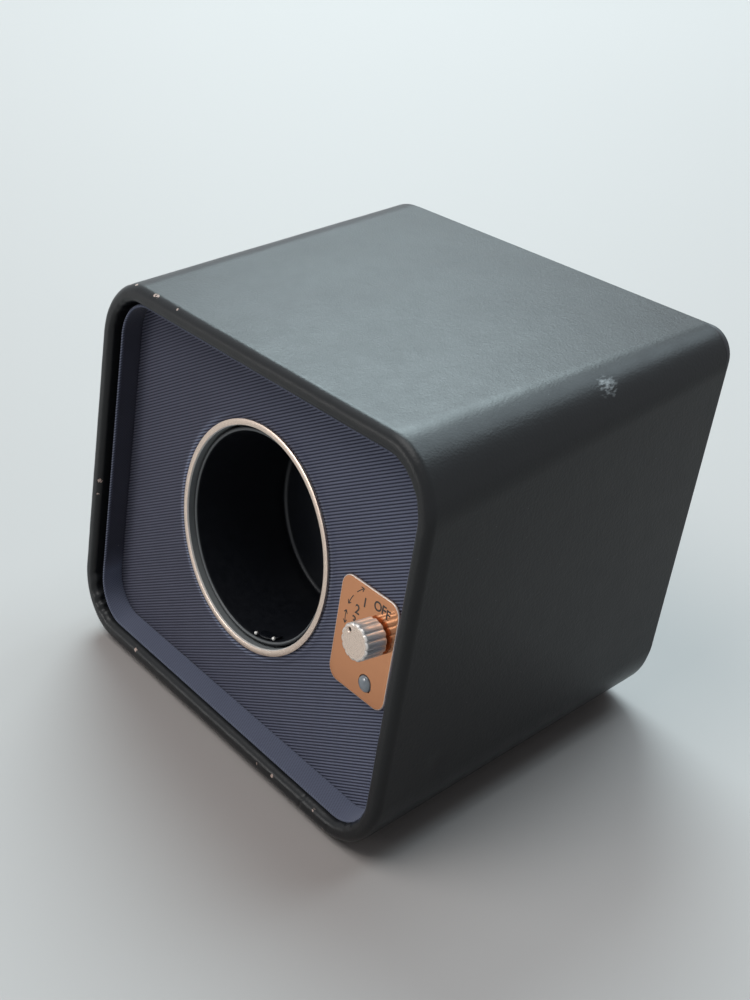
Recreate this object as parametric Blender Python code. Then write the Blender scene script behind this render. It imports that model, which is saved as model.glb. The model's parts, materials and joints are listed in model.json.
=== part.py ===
"""Watch winder box: a leather-covered case that leans back, with a turning drum.

The case is an oblique tube of board. Leather is wrapped over it and rolled round
the front rim. A fabric-lined front carries a metal bezel, a drum turned by a
geared motor, and a small plate with a selector knob and a pilot light.

Units are metres, +Z up. The origin is on the ground under the middle of the box.
Depths are measured square to the leaning front face. Pieces behind the face are
modelled in frames whose Y axis is the drum's axis.
"""
import math

import bmesh
import bpy
from mathutils import Vector

MM = 0.001

# Clearances
SEAT_GAP = 0.3 * MM
RUNNING_GAP = 0.6 * MM
SHAFT_GAP = 0.3 * MM

# Case
CASE_HEIGHT = 128.0 * MM
FACE_LEAN = math.radians(11.5)
CORNER_RADIUS = 21.0 * MM
TIGHT_CORNER_RADIUS = 12.0 * MM
LEATHER = 0.9 * MM
SLEEVE_WALL = 3.2 * MM
RIM_OUTER_ROLL = 2.6 * MM
RIM_INNER_ROLL = 2.0 * MM
LEATHER_TURN_IN = 17.0 * MM
REAR_PANEL = 2.0 * MM
REAR_PANEL_EDGE = 0.7 * MM
REAR_INSET = 0.8 * MM
REAR_TIGHT_RADIUS = 10.0 * MM
REAR_PLUG = 4.0 * MM
FOOT_RADIUS = 6.0 * MM
FOOT_HEIGHT = 1.5 * MM
FOOT_EASE = 0.4 * MM
FOOT_MARGIN = 10.0 * MM

# Front lining and face panel
LINER_GROOVE = 1.4 * MM
LINER_WALL = 0.8 * MM
LINER_SETBACK = 2.2 * MM
FACE_RECESS = 9.8 * MM
FACE_PANEL = 4.0 * MM
DRUM_RISE = 2.9 * MM

# Bezel ring round the drum's mouth
BEZEL_RADIUS = 37.8 * MM
BEZEL_BAND = 2.1 * MM
BEZEL_PROUD = 0.9 * MM
BEZEL_EASE = 0.35 * MM
BEZEL_SPIGOT = 1.0 * MM

# Drum
DRUM_WALL = 1.4 * MM
DRUM_LIP_DEPTH = 0.9 * MM
DRUM_DEPTH = 37.5 * MM
DRUM_FLOOR = 2.0 * MM
DRUM_DRAFT = 0.7 * MM
DRUM_FILLET = 1.5 * MM
DISC_MARGIN = 3.3 * MM
DISC_THICKNESS = 1.0 * MM
CATCH_WIDTH = 9.5 * MM
CATCH_LENGTH = 5.0 * MM
CATCH_HEIGHT = 1.5 * MM
CATCH_EDGE = 0.5 * MM
CATCH_RAMP = 1.6 * MM
CATCH_SETBACK = 1.0 * MM
CATCH_ANGLE = math.radians(-73.0)

# Spindle and bearing
SPINDLE_RADIUS = 2.5 * MM
BOSS_WALL = 4.2 * MM
BUSH_WALL = 1.7 * MM
BUSH_FLANGE = 2.6 * MM
BUSH_FLANGE_THICKNESS = 1.2 * MM
BUSH_LENGTH = 8.0 * MM
CLIP_THICKNESS = 0.8 * MM
CLIP_WIDTH = 2.0 * MM
CLIP_GROOVE = 0.6 * MM
CLIP_MOUTH = math.radians(80.0)
WASHER_THICKNESS = 0.6 * MM
SPINDLE_TAIL = 1.5 * MM

# Gear pair
GEAR_MODULE = 1.0 * MM
GEAR_TEETH = 60
PINION_TEETH = 15
GEAR_WIDTH = 5.0 * MM
GEAR_WEB = 2.4 * MM
GEAR_RIM = 3.2 * MM
GEAR_HUB_WALL = 2.6 * MM
GEAR_ADDENDUM = 0.8
GEAR_DEDENDUM = 1.2
GEAR_BACKLASH = 0.36 * MM
PRESSURE_ANGLE = math.radians(20.0)
PINION_OVERLAP = 0.5 * MM

# Drive plate and its pillars
PLATE_TO_GEAR = 3.0 * MM
DRIVE_PLATE = 2.5 * MM
DRIVE_PLATE_CORNER = 6.0 * MM
PILLAR_RADIUS = 3.2 * MM
PILLAR_CLEARANCE = 8.5 * MM
PILLAR_EDGE = 6.0 * MM

# Motor and gearbox
GEARBOX_RADIUS = 12.0 * MM
GEARBOX_LENGTH = 14.0 * MM
GEARBOX_NOSE = 4.2 * MM
GEARBOX_EASE = 1.0 * MM
MOTOR_RADIUS = 10.0 * MM
MOTOR_FLAT = 7.8 * MM
MOTOR_LENGTH = 22.0 * MM
MOTOR_SHAFT_RADIUS = 1.5 * MM
MOTOR_SHAFT_BITE = 6.0 * MM
MOTOR_SCREW_SPREAD = 8.5 * MM

# Screws
SCREW_RADIUS = 1.3 * MM
SCREW_HEAD_RADIUS = 2.5 * MM
SCREW_HEAD = 1.5 * MM
SCREW_HEAD_EASE = 0.7 * MM
SCREW_BITE = 6.0 * MM
GEAR_SCREW_BITE = 1.6 * MM

# Control plate, knob, switch and pilot light
CONTROL_WIDTH = 25.2 * MM
CONTROL_HEIGHT = 35.5 * MM
CONTROL_CORNER = 4.3 * MM
CONTROL_THICKNESS = 0.8 * MM
CONTROL_DROP = 6.6 * MM
CONTROL_FROM_BEZEL = 6.3 * MM
CONTROL_FROM_LINER = 5.4 * MM
KNOB_FROM_EDGE = 7.9 * MM
KNOB_FROM_TOP = 13.0 * MM
LIGHT_FROM_EDGE = 9.0 * MM
LIGHT_FROM_BOTTOM = 5.7 * MM
KNOB_RADIUS = 5.8 * MM
KNOB_LENGTH = 7.6 * MM
KNOB_EASE = 0.7 * MM
KNOB_FLUTES = 14
KNOB_FLUTE_DEPTH = 0.45 * MM
KNOB_POINTER_ANGLE = math.radians(131.0)
KNOB_POINTER_RADIUS = 0.9 * MM
KNOB_POINTER_INSET = 2.0 * MM
SWITCH_SHAFT_RADIUS = 3.0 * MM
SWITCH_SHAFT_TIP = 3.0 * MM
SWITCH_COLLAR_WALL = 1.2 * MM
SWITCH_BODY = 15.0 * MM
SWITCH_BODY_CORNER = 1.5 * MM
SWITCH_BODY_DEPTH = 9.0 * MM
SWITCH_FLOOR = 3.0 * MM
LIGHT_RADIUS = 2.6 * MM
LIGHT_PROUD = 0.9 * MM
LIGHT_LENGTH = 5.0 * MM
LIGHT_FLANGE = 0.4 * MM
LIGHT_FLANGE_THICKNESS = 1.0 * MM
LIGHT_LEG = 0.5 * MM
LIGHT_LEG_PITCH = 2.54 * MM

# Control board
BOARD_THICKNESS = 1.6 * MM
BOARD_CORNER = 2.0 * MM
BOARD_MARGIN = 3.2 * MM
BOARD_POST_RADIUS = 3.0 * MM
BOARD_POST_INSET = 4.0 * MM
CHIP_WIDTH = 7.6 * MM
CHIP_LENGTH = 10.4 * MM
CHIP_HEIGHT = 2.4 * MM
CHIP_CORNER = 0.4 * MM
CAPACITOR_RADIUS = 4.0 * MM
CAPACITOR_HEIGHT = 11.0 * MM
CAPACITOR_EASE = 0.7 * MM

# Power inlet
JACK_FROM_SIDE = 30.0 * MM
JACK_HEIGHT = 26.0 * MM
JACK_FLANGE_RADIUS = 7.2 * MM
JACK_FLANGE = 1.2 * MM
JACK_BARREL_RADIUS = 5.4 * MM
JACK_LENGTH = 14.0 * MM
JACK_SOCKET_RADIUS = 3.2 * MM
JACK_SOCKET_DEPTH = 9.0 * MM
JACK_PIN_RADIUS = 1.0 * MM
JACK_NUT_RADIUS = 8.0 * MM
JACK_NUT = 2.5 * MM

# Leads
LEAD_RADIUS = 1.1 * MM
LEAD_STRAIGHT = 6.0 * MM
LEAD_SLACK = 14.4 * MM

# Fineness of round forms
CORNER_STEPS = 6
ROLL_STEPS = 3
EASE_STEPS = 2
ROUND_SIDES = 48
SMALL_SIDES = 18
SCREW_SIDES = 10
FLANK_STEPS = 2
CROWN_STEPS = 6
FLUTE_STEPS = 6
LEAD_STEPS = 4
TINY = 1e-7

# Derived sizes of the case
COS = math.cos(FACE_LEAN)
SIN = math.sin(FACE_LEAN)
TAN = math.tan(FACE_LEAN)
SKIN = LEATHER + SEAT_GAP
RIM = 2 * SKIN + SLEEVE_WALL
SLEEVE_INNER = SKIN + SLEEVE_WALL
LINER_OUTER = RIM + LINER_GROOVE
LINER_INNER = LINER_OUTER + LINER_WALL
CASE_WIDTH = 2 * (BEZEL_RADIUS + CONTROL_FROM_BEZEL + CONTROL_WIDTH
                  + CONTROL_FROM_LINER + LINER_INNER)
CASE_BASE = FOOT_HEIGHT + SEAT_GAP

# Derived radii of the drum and the bezel
BEZEL_BORE = BEZEL_RADIUS - BEZEL_BAND
SPIGOT_RADIUS = BEZEL_BORE + BEZEL_SPIGOT
FACE_HOLE = SPIGOT_RADIUS + SEAT_GAP
DRUM_MOUTH_RADIUS = BEZEL_BORE - RUNNING_GAP
DRUM_BORE = DRUM_MOUTH_RADIUS - DRUM_WALL
FLOOR_RADIUS = DRUM_BORE - DRUM_DRAFT
DISC_RADIUS = FLOOR_RADIUS - DISC_MARGIN
SPINDLE_BORE = SPINDLE_RADIUS + SHAFT_GAP
BOSS_RADIUS = SPINDLE_BORE + BOSS_WALL
BUSH_BORE = SPINDLE_RADIUS + SHAFT_GAP
BUSH_RADIUS = BUSH_BORE + BUSH_WALL
GEAR_BORE = BOSS_RADIUS + SEAT_GAP
GEAR_PITCH = GEAR_MODULE * GEAR_TEETH / 2
PINION_PITCH = GEAR_MODULE * PINION_TEETH / 2
GEAR_CENTRES = GEAR_PITCH + PINION_PITCH
GEAR_ROOT = GEAR_PITCH - GEAR_DEDENDUM * GEAR_MODULE
SHAFT_BORE = MOTOR_SHAFT_RADIUS + SHAFT_GAP
SCREW_HOLE = SCREW_RADIUS + SEAT_GAP
PILLAR_PLACE = (DRUM_MOUTH_RADIUS + PILLAR_CLEARANCE + PILLAR_RADIUS) / math.sqrt(2)

# Derived depths behind the front of the face panel
DRUM_FLOOR_DEPTH = DRUM_DEPTH + SEAT_GAP
DRUM_BACK = DRUM_FLOOR_DEPTH + DRUM_FLOOR
GEAR_FRONT = DRUM_BACK + SEAT_GAP
GEAR_BACK = GEAR_FRONT + GEAR_WIDTH
PLATE_FRONT = GEAR_BACK + PLATE_TO_GEAR
PLATE_BACK = PLATE_FRONT + DRIVE_PLATE
BUSH_FRONT = PLATE_FRONT - SEAT_GAP - BUSH_FLANGE_THICKNESS
BOSS_BACK = BUSH_FRONT - SEAT_GAP
BUSH_BACK = PLATE_BACK + BUSH_LENGTH
WASHER_FRONT = BUSH_BACK + SEAT_GAP
CLIP_FRONT = WASHER_FRONT + WASHER_THICKNESS + SEAT_GAP
CLIP_BACK = CLIP_FRONT + CLIP_THICKNESS
SPINDLE_FRONT = DRUM_FLOOR_DEPTH + DRUM_FLOOR / 2 + SEAT_GAP
SPINDLE_BACK = CLIP_BACK + SEAT_GAP + SPINDLE_TAIL
GEARBOX_FRONT = PLATE_BACK + SEAT_GAP
GEARBOX_BACK = GEARBOX_FRONT + GEARBOX_LENGTH
MOTOR_FRONT = GEARBOX_BACK + SEAT_GAP
MOTOR_BACK = MOTOR_FRONT + MOTOR_LENGTH
SWITCH_FRONT = FACE_PANEL + SEAT_GAP
BOARD_FRONT = SWITCH_FRONT + SWITCH_BODY_DEPTH + SEAT_GAP
BOARD_BACK = BOARD_FRONT + BOARD_THICKNESS
CONTROL_BACK = -SEAT_GAP
CONTROL_FRONT = CONTROL_BACK - CONTROL_THICKNESS
KNOB_BACK = CONTROL_FRONT - RUNNING_GAP
KNOB_FRONT = KNOB_BACK - KNOB_LENGTH

# Derived depth of the case
PLUG_FRONT = FACE_RECESS + MOTOR_BACK + LEAD_SLACK
REAR_FRONT = PLUG_FRONT + REAR_PLUG
REAR_FACE = REAR_FRONT + REAR_PANEL
CASE_DEPTH = REAR_FACE / COS
SLEEVE_BACK = REAR_FRONT - SEAT_GAP
FRONT_Y = -(CASE_DEPTH + CASE_HEIGHT * TAN) / 2

# Derived places on the face, measured from the drum's axis
CONTROL_RIGHT = CASE_WIDTH / 2 - LINER_INNER - CONTROL_FROM_LINER
CONTROL_U = CONTROL_RIGHT - CONTROL_WIDTH / 2
CONTROL_S = -CONTROL_DROP
KNOB_U = CONTROL_RIGHT - KNOB_FROM_EDGE
KNOB_S = CONTROL_S + CONTROL_HEIGHT / 2 - KNOB_FROM_TOP
LIGHT_U = CONTROL_RIGHT - LIGHT_FROM_EDGE
LIGHT_S = CONTROL_S - CONTROL_HEIGHT / 2 + LIGHT_FROM_BOTTOM

# Finishes: colour, roughness and metallic value of each material
FINISHES = {
    "black_leather": ((0.018, 0.020, 0.023), 0.48, 0.0),
    "case_board": ((0.42, 0.33, 0.22), 0.85, 0.0),
    "grey_fabric": ((0.060, 0.058, 0.075), 0.9, 0.0),
    "satin_nickel": ((0.62, 0.58, 0.53), 0.3, 1.0),
    "copper_plate": ((0.78, 0.52, 0.36), 0.25, 1.0),
    "chrome": ((0.80, 0.80, 0.80), 0.08, 1.0),
    "black_plastic": ((0.012, 0.012, 0.014), 0.55, 0.0),
    "clear_lens": ((0.55, 0.60, 0.64), 0.12, 0.0),
    "white_acetal": ((0.80, 0.79, 0.75), 0.45, 0.0),
    "steel": ((0.55, 0.55, 0.56), 0.3, 1.0),
    "bronze": ((0.55, 0.38, 0.20), 0.4, 1.0),
    "zinc_plate": ((0.60, 0.61, 0.63), 0.38, 1.0),
    "green_board": ((0.02, 0.16, 0.07), 0.5, 0.0),
    "felt": ((0.02, 0.02, 0.02), 0.95, 0.0),
    "red_lead": ((0.45, 0.03, 0.03), 0.5, 0.0),
}


def clear_scene():
    """Remove every object that the scene starts with."""
    for thing in list(bpy.data.objects):
        bpy.data.objects.remove(thing, do_unlink=True)


def finish(name):
    """Return the named Principled material, made on first use."""
    material = bpy.data.materials.get(name)
    if material is None:
        colour, roughness, metallic = FINISHES[name]
        material = bpy.data.materials.new(name)
        material.use_nodes = True
        shader = material.node_tree.nodes["Principled BSDF"]
        shader.inputs["Base Color"].default_value = (*colour, 1.0)
        shader.inputs["Roughness"].default_value = roughness
        shader.inputs["Metallic"].default_value = metallic
    return material


def axis_frame(name, location, lean=0.0, parent=None):
    """Make an empty that carries pieces; a lean tips its Y axis down at the back."""
    frame = bpy.data.objects.new(name, None)
    bpy.context.scene.collection.objects.link(frame)
    frame.location = location
    frame.rotation_euler = (-lean, 0.0, 0.0)
    frame.parent = parent
    return frame


def to_object(name, solid, material, parent=None, location=(0, 0, 0)):
    """Turn a bmesh into a named, smooth-shaded object with one material."""
    bmesh.ops.recalc_face_normals(solid, faces=solid.faces)
    mesh = bpy.data.meshes.new(name)
    solid.to_mesh(mesh)
    solid.free()
    mesh.shade_smooth()
    mesh.set_sharp_from_angle(angle=math.radians(35))
    mesh.materials.append(finish(material))
    piece = bpy.data.objects.new(name, mesh)
    bpy.context.scene.collection.objects.link(piece)
    piece.parent = parent
    piece.location = location
    return piece


def combine(target, tool, operation):
    """Cut a hidden tool from a piece, or join it on, with an exact Boolean."""
    tool.hide_render = True
    tool.display_type = 'WIRE'
    modifier = target.modifiers.new(f"{operation.lower()}_{tool.name}", 'BOOLEAN')
    modifier.operation = operation
    modifier.solver = 'EXACT'
    modifier.object = tool


def bridge(solid, first, second):
    """Join two rings of points with faces; a ring of one point is a pole."""
    count = max(len(first), len(second))
    for i in range(count):
        j = (i + 1) % count
        corners = [first[i % len(first)], first[j % len(first)],
                   second[j % len(second)], second[i % len(second)]]
        solid.faces.new(list(dict.fromkeys(corners)))


def loft(name, loops, material, closed=False, **place):
    """Skin a row of equal loops, with flat caps unless the row closes on itself."""
    solid = bmesh.new()
    rings = [[solid.verts.new(point) for point in loop] for loop in loops]
    for first, second in zip(rings, rings[1:]):
        bridge(solid, first, second)
    if closed:
        bridge(solid, rings[-1], rings[0])
    else:
        solid.faces.new(rings[0])
        solid.faces.new(rings[-1])
    return to_object(name, solid, material, **place)


def turned(name, profile, material, sides=ROUND_SIDES, closed=False, **place):
    """Turn a profile of (radius, depth) points about the Y axis."""
    solid = bmesh.new()
    turns = [2 * math.pi * i / sides for i in range(sides)]
    rings = []
    for radius, depth in profile:
        if radius < TINY:
            rings.append([solid.verts.new((0.0, depth, 0.0))])
        else:
            rings.append([solid.verts.new((radius * math.cos(a), depth, radius * math.sin(a)))
                          for a in turns])
    for first, second in zip(rings, rings[1:]):
        bridge(solid, first, second)
    if closed:
        bridge(solid, rings[-1], rings[0])
    return to_object(name, solid, material, **place)


def prism(name, outline, front, back, material, **place):
    """Extrude an outline of (across, up) points between two depths."""
    loops = [[(u, depth, s) for u, s in outline] for depth in (front, back)]
    return loft(name, loops, material, **place)


def arc(centre, radius, start, end, steps):
    """Points on an arc, from the start angle to the end angle."""
    sweep = [start + (end - start) * i / steps for i in range(steps + 1)]
    return [(centre[0] + radius * math.cos(a), centre[1] + radius * math.sin(a)) for a in sweep]


def cornered(width, height, radii, steps=CORNER_STEPS):
    """Outline of a rectangle with four corner radii, counter-clockwise from the upper right."""
    corners = ((1, 1), (-1, 1), (-1, -1), (1, -1))
    points = []
    for quarter, ((side, end), radius) in enumerate(zip(corners, radii)):
        centre = (side * (width / 2 - radius), end * (height / 2 - radius))
        start = quarter * math.pi / 2
        points += arc(centre, radius, start, start + math.pi / 2, steps)
    return points


def rounded_rectangle(width, height, radius, steps=CORNER_STEPS):
    """Outline of a rectangle with four like round corners."""
    return cornered(width, height, [radius] * 4, steps)


def cutter(name, radius, front, back, sides=SMALL_SIDES, **place):
    """A plain round tool for cutting holes."""
    profile = [(0, front), (radius, front), (radius, back), (0, back)]
    return turned(name, profile, "steel", sides=sides, **place)


def lean_point(x, depth, z):
    """A point at a depth behind the leaning front face, at height z."""
    return (x, FRONT_Y + (z - CASE_BASE) * TAN + depth / COS, z)


def case_ring(inset, depth, tight=TIGHT_CORNER_RADIUS):
    """The case's outline, drawn in by an inset, at a depth behind the face.

    The upper right corner tightens evenly from the front to the back of the sleeve.
    """
    upper_right = CORNER_RADIUS + (tight - CORNER_RADIUS) * depth / SLEEVE_BACK
    radii = [radius - inset for radius in (upper_right, CORNER_RADIUS, CORNER_RADIUS, CORNER_RADIUS)]
    outline = cornered(CASE_WIDTH - 2 * inset, CASE_HEIGHT - 2 * inset, radii)
    middle = CASE_BASE + CASE_HEIGHT / 2
    return [lean_point(x, depth, middle + up) for x, up in outline]


def rim_path(offset, outer_end, inner_end):
    """Section of the rolled rim, from its outer back edge round to its inner one."""
    outer = RIM_OUTER_ROLL - offset
    inner = RIM_INNER_ROLL - offset
    quarter = math.pi / 2
    path = [(offset, outer_end)]
    path += arc((RIM_OUTER_ROLL, RIM_OUTER_ROLL), outer, 2 * quarter, 3 * quarter, ROLL_STEPS)
    path += arc((RIM - RIM_INNER_ROLL, RIM_INNER_ROLL), inner, 3 * quarter, 4 * quarter, ROLL_STEPS)
    path.append((RIM - offset, inner_end))
    return path


def swept_round_case(name, section, material):
    """Carry a closed section of (inset, depth) points round the case's outline."""
    return loft(name, [case_ring(inset, depth) for inset, depth in section], material, closed=True)


def gear_outline(teeth, backlash):
    """Involute spur gear outline, with a tooth centred on the +X axis."""
    pitch = GEAR_MODULE * teeth / 2
    base = pitch * math.cos(PRESSURE_ANGLE)
    tip = pitch + GEAR_ADDENDUM * GEAR_MODULE
    root = pitch - GEAR_DEDENDUM * GEAR_MODULE
    foot = max(base, root)
    half_tooth = math.pi / (2 * teeth) - backlash / (4 * pitch)

    def half_angle(radius):
        slope = math.acos(min(1.0, base / radius))
        involute = math.tan(slope) - slope
        return half_tooth + math.tan(PRESSURE_ANGLE) - PRESSURE_ANGLE - involute

    flank = [foot + (tip - foot) * i / FLANK_STEPS for i in range(FLANK_STEPS + 1)]
    rising = [(r, -half_angle(r)) for r in flank]
    falling = [(r, half_angle(r)) for r in reversed(flank)]
    tooth = [(root, -half_angle(foot))] + rising + falling + [(root, half_angle(foot))]
    points = []
    for i in range(teeth):
        turn = 2 * math.pi * i / teeth
        points += [(r * math.cos(turn + a), r * math.sin(turn + a)) for r, a in tooth]
    return points


def screw(name, head_seat, bite, material="steel", **place):
    """A pan-head screw whose head sits behind its seat and whose shank runs forward."""
    head_front = head_seat + SEAT_GAP
    head_back = head_front + SCREW_HEAD
    profile = [(0, head_seat - bite), (SCREW_RADIUS, head_seat - bite),
               (SCREW_RADIUS, head_front), (SCREW_HEAD_RADIUS, head_front),
               (SCREW_HEAD_RADIUS, head_back - SCREW_HEAD_EASE),
               (SCREW_HEAD_RADIUS - SCREW_HEAD_EASE, head_back), (0, head_back)]
    return turned(name, profile, material, sides=SCREW_SIDES, **place)


def smooth_path(points, steps=LEAD_STEPS):
    """Catmull-Rom points through a lead's route, between straight first and last runs."""
    nodes = [Vector(p) for p in points]
    path = [nodes[0]]
    for a, b, c, d in zip(nodes, nodes[1:], nodes[2:], nodes[3:]):
        for i in range(steps):
            t = i / steps
            path.append(0.5 * (2 * b + (c - a) * t + (2 * a - 5 * b + 4 * c - d) * t ** 2
                               + (3 * b - a - 3 * c + d) * t ** 3))
    return path + nodes[-2:]


def lead(name, route, parent):
    """A round lead along a smooth route, as a bevelled curve with closed ends."""
    path = smooth_path(route)
    curve = bpy.data.curves.new(name, 'CURVE')
    curve.dimensions = '3D'
    curve.bevel_depth = LEAD_RADIUS
    curve.bevel_resolution = 2
    curve.use_fill_caps = True
    spline = curve.splines.new('POLY')
    spline.points.add(len(path) - 1)
    for point, place in zip(spline.points, path):
        point.co = (*place, 1.0)
    curve.materials.append(finish("red_lead"))
    piece = bpy.data.objects.new(name, curve)
    bpy.context.scene.collection.objects.link(piece)
    piece.parent = parent
    return piece


def make_case():
    """The board sleeve, its leather with the rolled rim, the rear panel and the feet."""
    swept_round_case("case_sleeve", rim_path(SKIN, SLEEVE_BACK, SLEEVE_BACK), "case_board")
    outside = rim_path(0.0, SLEEVE_BACK, LEATHER_TURN_IN)
    inside = rim_path(LEATHER, SLEEVE_BACK, LEATHER_TURN_IN)
    swept_round_case("leather_wrap", outside + inside[::-1], "black_leather")
    plug_inset = SLEEVE_INNER + SEAT_GAP
    edge = REAR_PANEL_EDGE
    brim = [(REAR_INSET + edge / 2, REAR_FRONT), (REAR_INSET, REAR_FRONT + edge / 2)]
    brim += arc((REAR_INSET + edge, REAR_FACE - edge), edge, math.pi, math.pi / 2, EASE_STEPS)
    loops = [case_ring(plug_inset, PLUG_FRONT), case_ring(plug_inset, REAR_FRONT)]
    loops += [case_ring(inset, depth, REAR_TIGHT_RADIUS) for inset, depth in brim]
    rear = loft("rear_panel", loops, "black_leather")
    foot_x = CASE_WIDTH / 2 - CORNER_RADIUS - FOOT_MARGIN
    front_y = FRONT_Y + FOOT_MARGIN + FOOT_RADIUS
    back_y = FRONT_Y + CASE_DEPTH - FOOT_MARGIN - FOOT_RADIUS
    for side, x in (("left", -foot_x), ("right", foot_x)):
        for end, y in (("front", front_y), ("rear", back_y)):
            make_foot(f"foot_{end}_{side}", x, y)
    return rear


def make_foot(name, x, y):
    """A round felt pad with an eased lower edge, under the case."""
    turns = [2 * math.pi * i / SMALL_SIDES for i in range(SMALL_SIDES)]
    profile = [(FOOT_RADIUS - FOOT_EASE, 0.0), (FOOT_RADIUS, FOOT_EASE), (FOOT_RADIUS, FOOT_HEIGHT)]
    loops = [[(x + r * math.cos(a), y + r * math.sin(a), z) for a in turns] for r, z in profile]
    loft(name, loops, "felt")


def make_front(face):
    """The fabric liner, the face panel with its holes, and the bezel ring.

    The liner rests low in its groove, so the groove is narrow at the bottom and wide at the top.
    """
    fold = LINER_WALL / 2
    middle = (LINER_OUTER + fold, LINER_SETBACK + fold)
    section = [(LINER_OUTER, FACE_RECESS - SEAT_GAP)]
    section += arc(middle, fold, math.pi, 2 * math.pi, ROLL_STEPS)
    section.append((LINER_INNER, FACE_RECESS - SEAT_GAP))
    drop = LINER_GROOVE - SEAT_GAP
    loops = [[(x, y - drop * TAN, z - drop) for x, y, z in case_ring(inset, depth)]
             for inset, depth in section]
    loft("front_liner", loops, "grey_fabric", closed=True)

    inset = RIM + SEAT_GAP
    panel = loft("face_panel", [case_ring(inset, FACE_RECESS),
                                case_ring(inset, FACE_RECESS + FACE_PANEL)], "grey_fabric")
    through = (-FACE_PANEL, 2 * FACE_PANEL)
    mouth = cutter("mouth_hole", FACE_HOLE, *through, sides=ROUND_SIDES, parent=face)
    collar = SWITCH_SHAFT_RADIUS + SHAFT_GAP + SWITCH_COLLAR_WALL + SEAT_GAP
    switch = cutter("switch_hole", collar, *through, parent=face, location=(KNOB_U, 0, KNOB_S))
    flange = LIGHT_RADIUS + LIGHT_FLANGE + SEAT_GAP
    light = cutter("light_hole", flange, *through, parent=face, location=(LIGHT_U, 0, LIGHT_S))
    for tool in (mouth, switch, light):
        combine(panel, tool, 'DIFFERENCE')

    seat = -SEAT_GAP
    eased = seat - BEZEL_PROUD + BEZEL_EASE
    profile = [(BEZEL_RADIUS, seat)]
    profile += arc((BEZEL_RADIUS - BEZEL_EASE, eased), BEZEL_EASE, 0, -math.pi / 2, EASE_STEPS)
    profile += arc((BEZEL_BORE + BEZEL_EASE, eased), BEZEL_EASE, -math.pi / 2, -math.pi, EASE_STEPS)
    profile += [(BEZEL_BORE, FACE_PANEL - SEAT_GAP), (SPIGOT_RADIUS, FACE_PANEL - SEAT_GAP),
                (SPIGOT_RADIUS, seat)]
    turned("bezel_ring", profile, "satin_nickel", closed=True, parent=face)


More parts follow.
